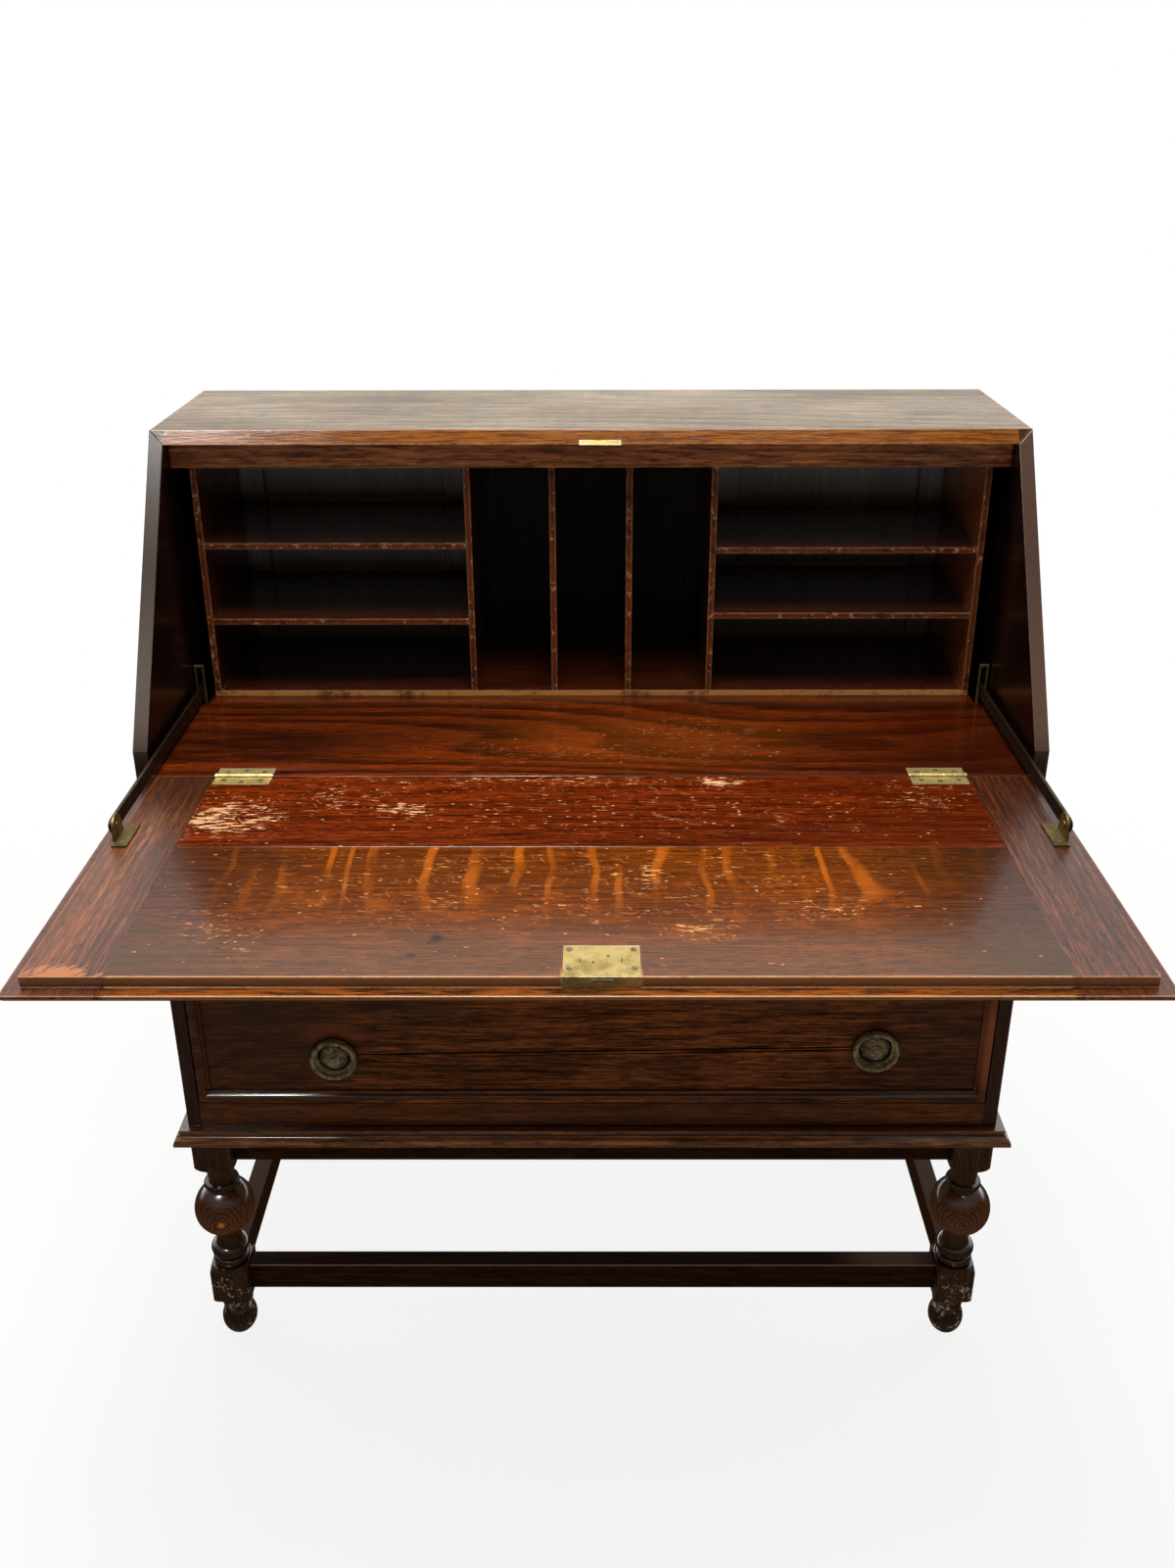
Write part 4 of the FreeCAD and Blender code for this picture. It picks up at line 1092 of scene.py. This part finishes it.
def leafSpots(spec, back):
    centre, line = pinHigh[0] - spec["half"] * mm, (pinLow[1] + pinHigh[1]) / 2
    spots = []
    for side in (-1, 1):
        for step, reach, turn in spec["screws"]:
            x, y = side * centre + step * spec["pitch"] * mm, line + back * reach * mm
            spots.append((x, y, writingTop, turn + spec["sideTurn"] * side))
    return spots


screwPiece("screws_hinges_bed", "carcass", leafSpots(leafSpec, 1), leafSpec["radius"])
screwPiece("screws_hinges_fall", "fall", leafSpots(leafSpec, -1), leafSpec["radius"])

lockScrews = {"inset": 5.0, "frontInset": 11.5, "radius": 2.7, "turns": (20, -15, 50, 5)}
plateLow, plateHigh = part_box("lock_plate")
inset = lockScrews["inset"] * mm
corners = [(x, y) for y in (plateHigh[1] - inset, plateLow[1] + lockScrews["frontInset"] * mm)
           for x in (plateLow[0] + inset, plateHigh[0] - inset)]
spots = [(x, y, plateHigh[2], turn) for (x, y), turn in zip(corners, lockScrews["turns"])]
screwPiece("screws_lock", "fall", spots, lockScrews["radius"])

footScrews = {"inset": 8.0, "endInset": 5.5, "footThick": 2.0, "radius": 2.6, "turns": (40, -30)}
footLow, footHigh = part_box("stay_brackets")
footX, footTop = footHigh[0] - footScrews["inset"] * mm, writingTop + footScrews["footThick"] * mm
footY = (footLow[1] + footScrews["endInset"] * mm, footHigh[1] - footScrews["endInset"] * mm)
spots = [(side * footX, y, footTop, turn * side) for side in (-1, 1) for y, turn in zip(footY, footScrews["turns"])]
screwPiece("screws_stay_brackets", "fall", spots, footScrews["radius"])
print("screws ready")


# rivets and guide pins that show through the lock plate, from its left back corner
lockMarks = {
    "pins": [(13.2, 20.0), (46.6, 20.0)], "pinSize": (0.9, 4.2, 0.5), "pinBevel": 0.12,
    "rivets": [(23.8, 22.4), (35.6, 14.0)], "radius": 1.3, "flatten": 0.25}


def platePlaces(spots):
    return [Matrix.Translation((plateLow[0] + x * mm, plateHigh[1] - y * mm, plateHigh[2])) for x, y in spots]


def makeLockMarks(spec):
    shape = bmesh.new()
    pin = bmesh.new()
    bmesh.ops.create_cube(pin, size=1.0)
    bmesh.ops.scale(pin, vec=[size * mm for size in spec["pinSize"]], verts=pin.verts)
    easeEdges(pin, spec["pinBevel"] * mm)
    addCopies(shape, pin, platePlaces(spec["pins"]))
    rivet = bmesh.new()
    bmesh.ops.create_uvsphere(rivet, u_segments=20, v_segments=10, radius=spec["radius"] * mm)
    bmesh.ops.scale(rivet, vec=(1, 1, spec["flatten"]), verts=rivet.verts)
    addCopies(shape, rivet, platePlaces(spec["rivets"]))
    return shape


finishPiece("lock_rivets", makeLockMarks(lockMarks), markMetal, "fall")
print("lock details ready")


# camera, floor and light

cameraSpec = {
    "place": (0.006789, -1.244311, 1.392947), "pitch": 23.110, "yaw": -0.201, "roll": -0.135,
    "lens": 31.236, "sensor": 36.0, "shift": (-0.003446, -0.06284)}


def makeCamera(spec):
    pitch, yaw, roll = (math.radians(spec[key]) for key in ("pitch", "yaw", "roll"))
    ahead = Vector((math.sin(yaw) * math.cos(pitch), math.cos(yaw) * math.cos(pitch), -math.sin(pitch)))
    right = Vector((math.cos(yaw), -math.sin(yaw), 0.0))
    up = right.cross(ahead)
    side = right * math.cos(roll) + up * math.sin(roll)
    lift = up * math.cos(roll) - right * math.sin(roll)
    data = bpy.data.cameras.new("photoCamera")
    data.lens = spec["lens"]
    data.sensor_width = spec["sensor"]
    data.shift_x, data.shift_y = spec["shift"]
    camera = addObject("photoCamera", data)
    camera.matrix_world = Matrix.Translation(spec["place"]) @ Matrix((side, lift, -ahead)).transposed().to_4x4()
    bpy.context.scene.camera = camera


floorSpec = {
    "reach": 30.0, "tint": (240, 239, 236), "rough": 0.8, "specular": 0.1, "spread": (0.7, 1.8, 0.86, 1.0),
    "bounce": 0.75}


def makeFloor(spec):
    mesh = bpy.data.meshes.new("floor")
    shape = bmesh.new()
    bmesh.ops.create_grid(shape, x_segments=2, y_segments=2, size=spec["reach"])
    shape.to_mesh(mesh)
    shape.free()
    floor = addObject("floor", mesh)
    material, shader, sources = startMaterial("paleFloor")
    tree = material.node_tree
    setInputs(shader, {"Base Color": paint(*spec["tint"]), "Roughness": spec["rough"],
                       "Specular IOR Level": spec["specular"]})
    seen = addNode(tree, "ShaderNodeLightPath").outputs["Is Camera Ray"]
    glow = {"Color": white, "Strength": mixValue(seen, spec["bounce"], 1.0)}
    away = vectorCalc("LENGTH", sources["Object"])["Value"]
    emission = useNode("ShaderNodeEmission", glow).outputs[0]
    mix = {0: fade(away, *spec["spread"]), 1: shader.outputs[0], 2: emission}
    blend = useNode("ShaderNodeMixShader", mix)
    setInputs(tree.nodes["Material Output"], {"Surface": blend.outputs[0]})
    mesh.materials.append(material)
    floor.visible_glossy = False


lampSpec = {
    "ceiling": {"place": (-0.1, -0.15, 3.1), "aim": (0.0, -0.1, 0.6), "size": (1.8, 0.8), "power": 70.0,
                "tint": (1.0, 0.97, 0.92), "diffuse": True},
    "skylight": {"place": (-1.03, -0.75, 2.8), "aim": (-0.3, -0.1, 0.5), "size": (0.55, 0.5), "power": 46.0,
                 "tint": (1.0, 0.99, 0.96), "diffuse": False},
    "bulb": {"place": (0.55, -0.75, 2.9), "aim": (0.2, -0.1, 0.5), "size": (0.3, 0.3), "power": 5.0,
             "tint": (1.0, 0.96, 0.90), "diffuse": False},
}


def makeLamp(name, spec):
    data = bpy.data.lights.new(name, "AREA")
    data.shape = "RECTANGLE"
    data.size, data.size_y = spec["size"]
    data.energy = spec["power"]
    data.color = spec["tint"]
    lamp = addObject(name, data)
    lamp.location = spec["place"]
    lamp.rotation_euler = (Vector(spec["aim"]) - Vector(spec["place"])).to_track_quat("-Z", "Y").to_euler()
    lamp.visible_diffuse = spec["diffuse"]


# light from behind by height: a pale band low down, a dim one over it, then a lit one
roomSpec = {
    "behind": (0.0, 0.6), "horizon": (-0.04, 0.10), "lowBand": (0.25, 0.40, 2.45, 0.22),
    "upperBand": (0.44, 0.53, 0.0, 0.8), "ceilingBand": (0.1, 0.7, 0.0, 0.16), "front": 0.03,
    "warm": (1.0, 0.62, 0.3, 1.0), "warmBand": (0.03, 0.2)}


def makeRoom(spec):
    world = bpy.data.worlds.new("room")
    world.use_nodes = True
    tree = world.node_tree
    parts = split(addNode(tree, "ShaderNodeTexCoord").outputs["Generated"])
    wall = times(fade(parts[1], *spec["behind"]), fade(parts[2], *spec["horizon"]))
    wallGlow = plus(fade(parts[2], *spec["lowBand"]), fade(parts[2], *spec["upperBand"]))
    glow = plus(times(wall, wallGlow), spec["front"], fade(parts[2], *spec["ceilingBand"]))
    seen = addNode(tree, "ShaderNodeLightPath").outputs["Is Camera Ray"]
    tone = layer(fade(glow, *spec["warmBand"]), spec["warm"], white)
    setInputs(tree.nodes["Background"], {"Color": layer(seen, tone, white),
                                         "Strength": mixValue(seen, glow, 1.0)})
    bpy.context.scene.world = world


makeCamera(cameraSpec)
makeFloor(floorSpec)
for lampName, lamp in lampSpec.items():
    makeLamp(lampName, lamp)
makeRoom(roomSpec)
bpy.context.scene.view_settings.view_transform = "Standard"
print("camera, floor and light ready")
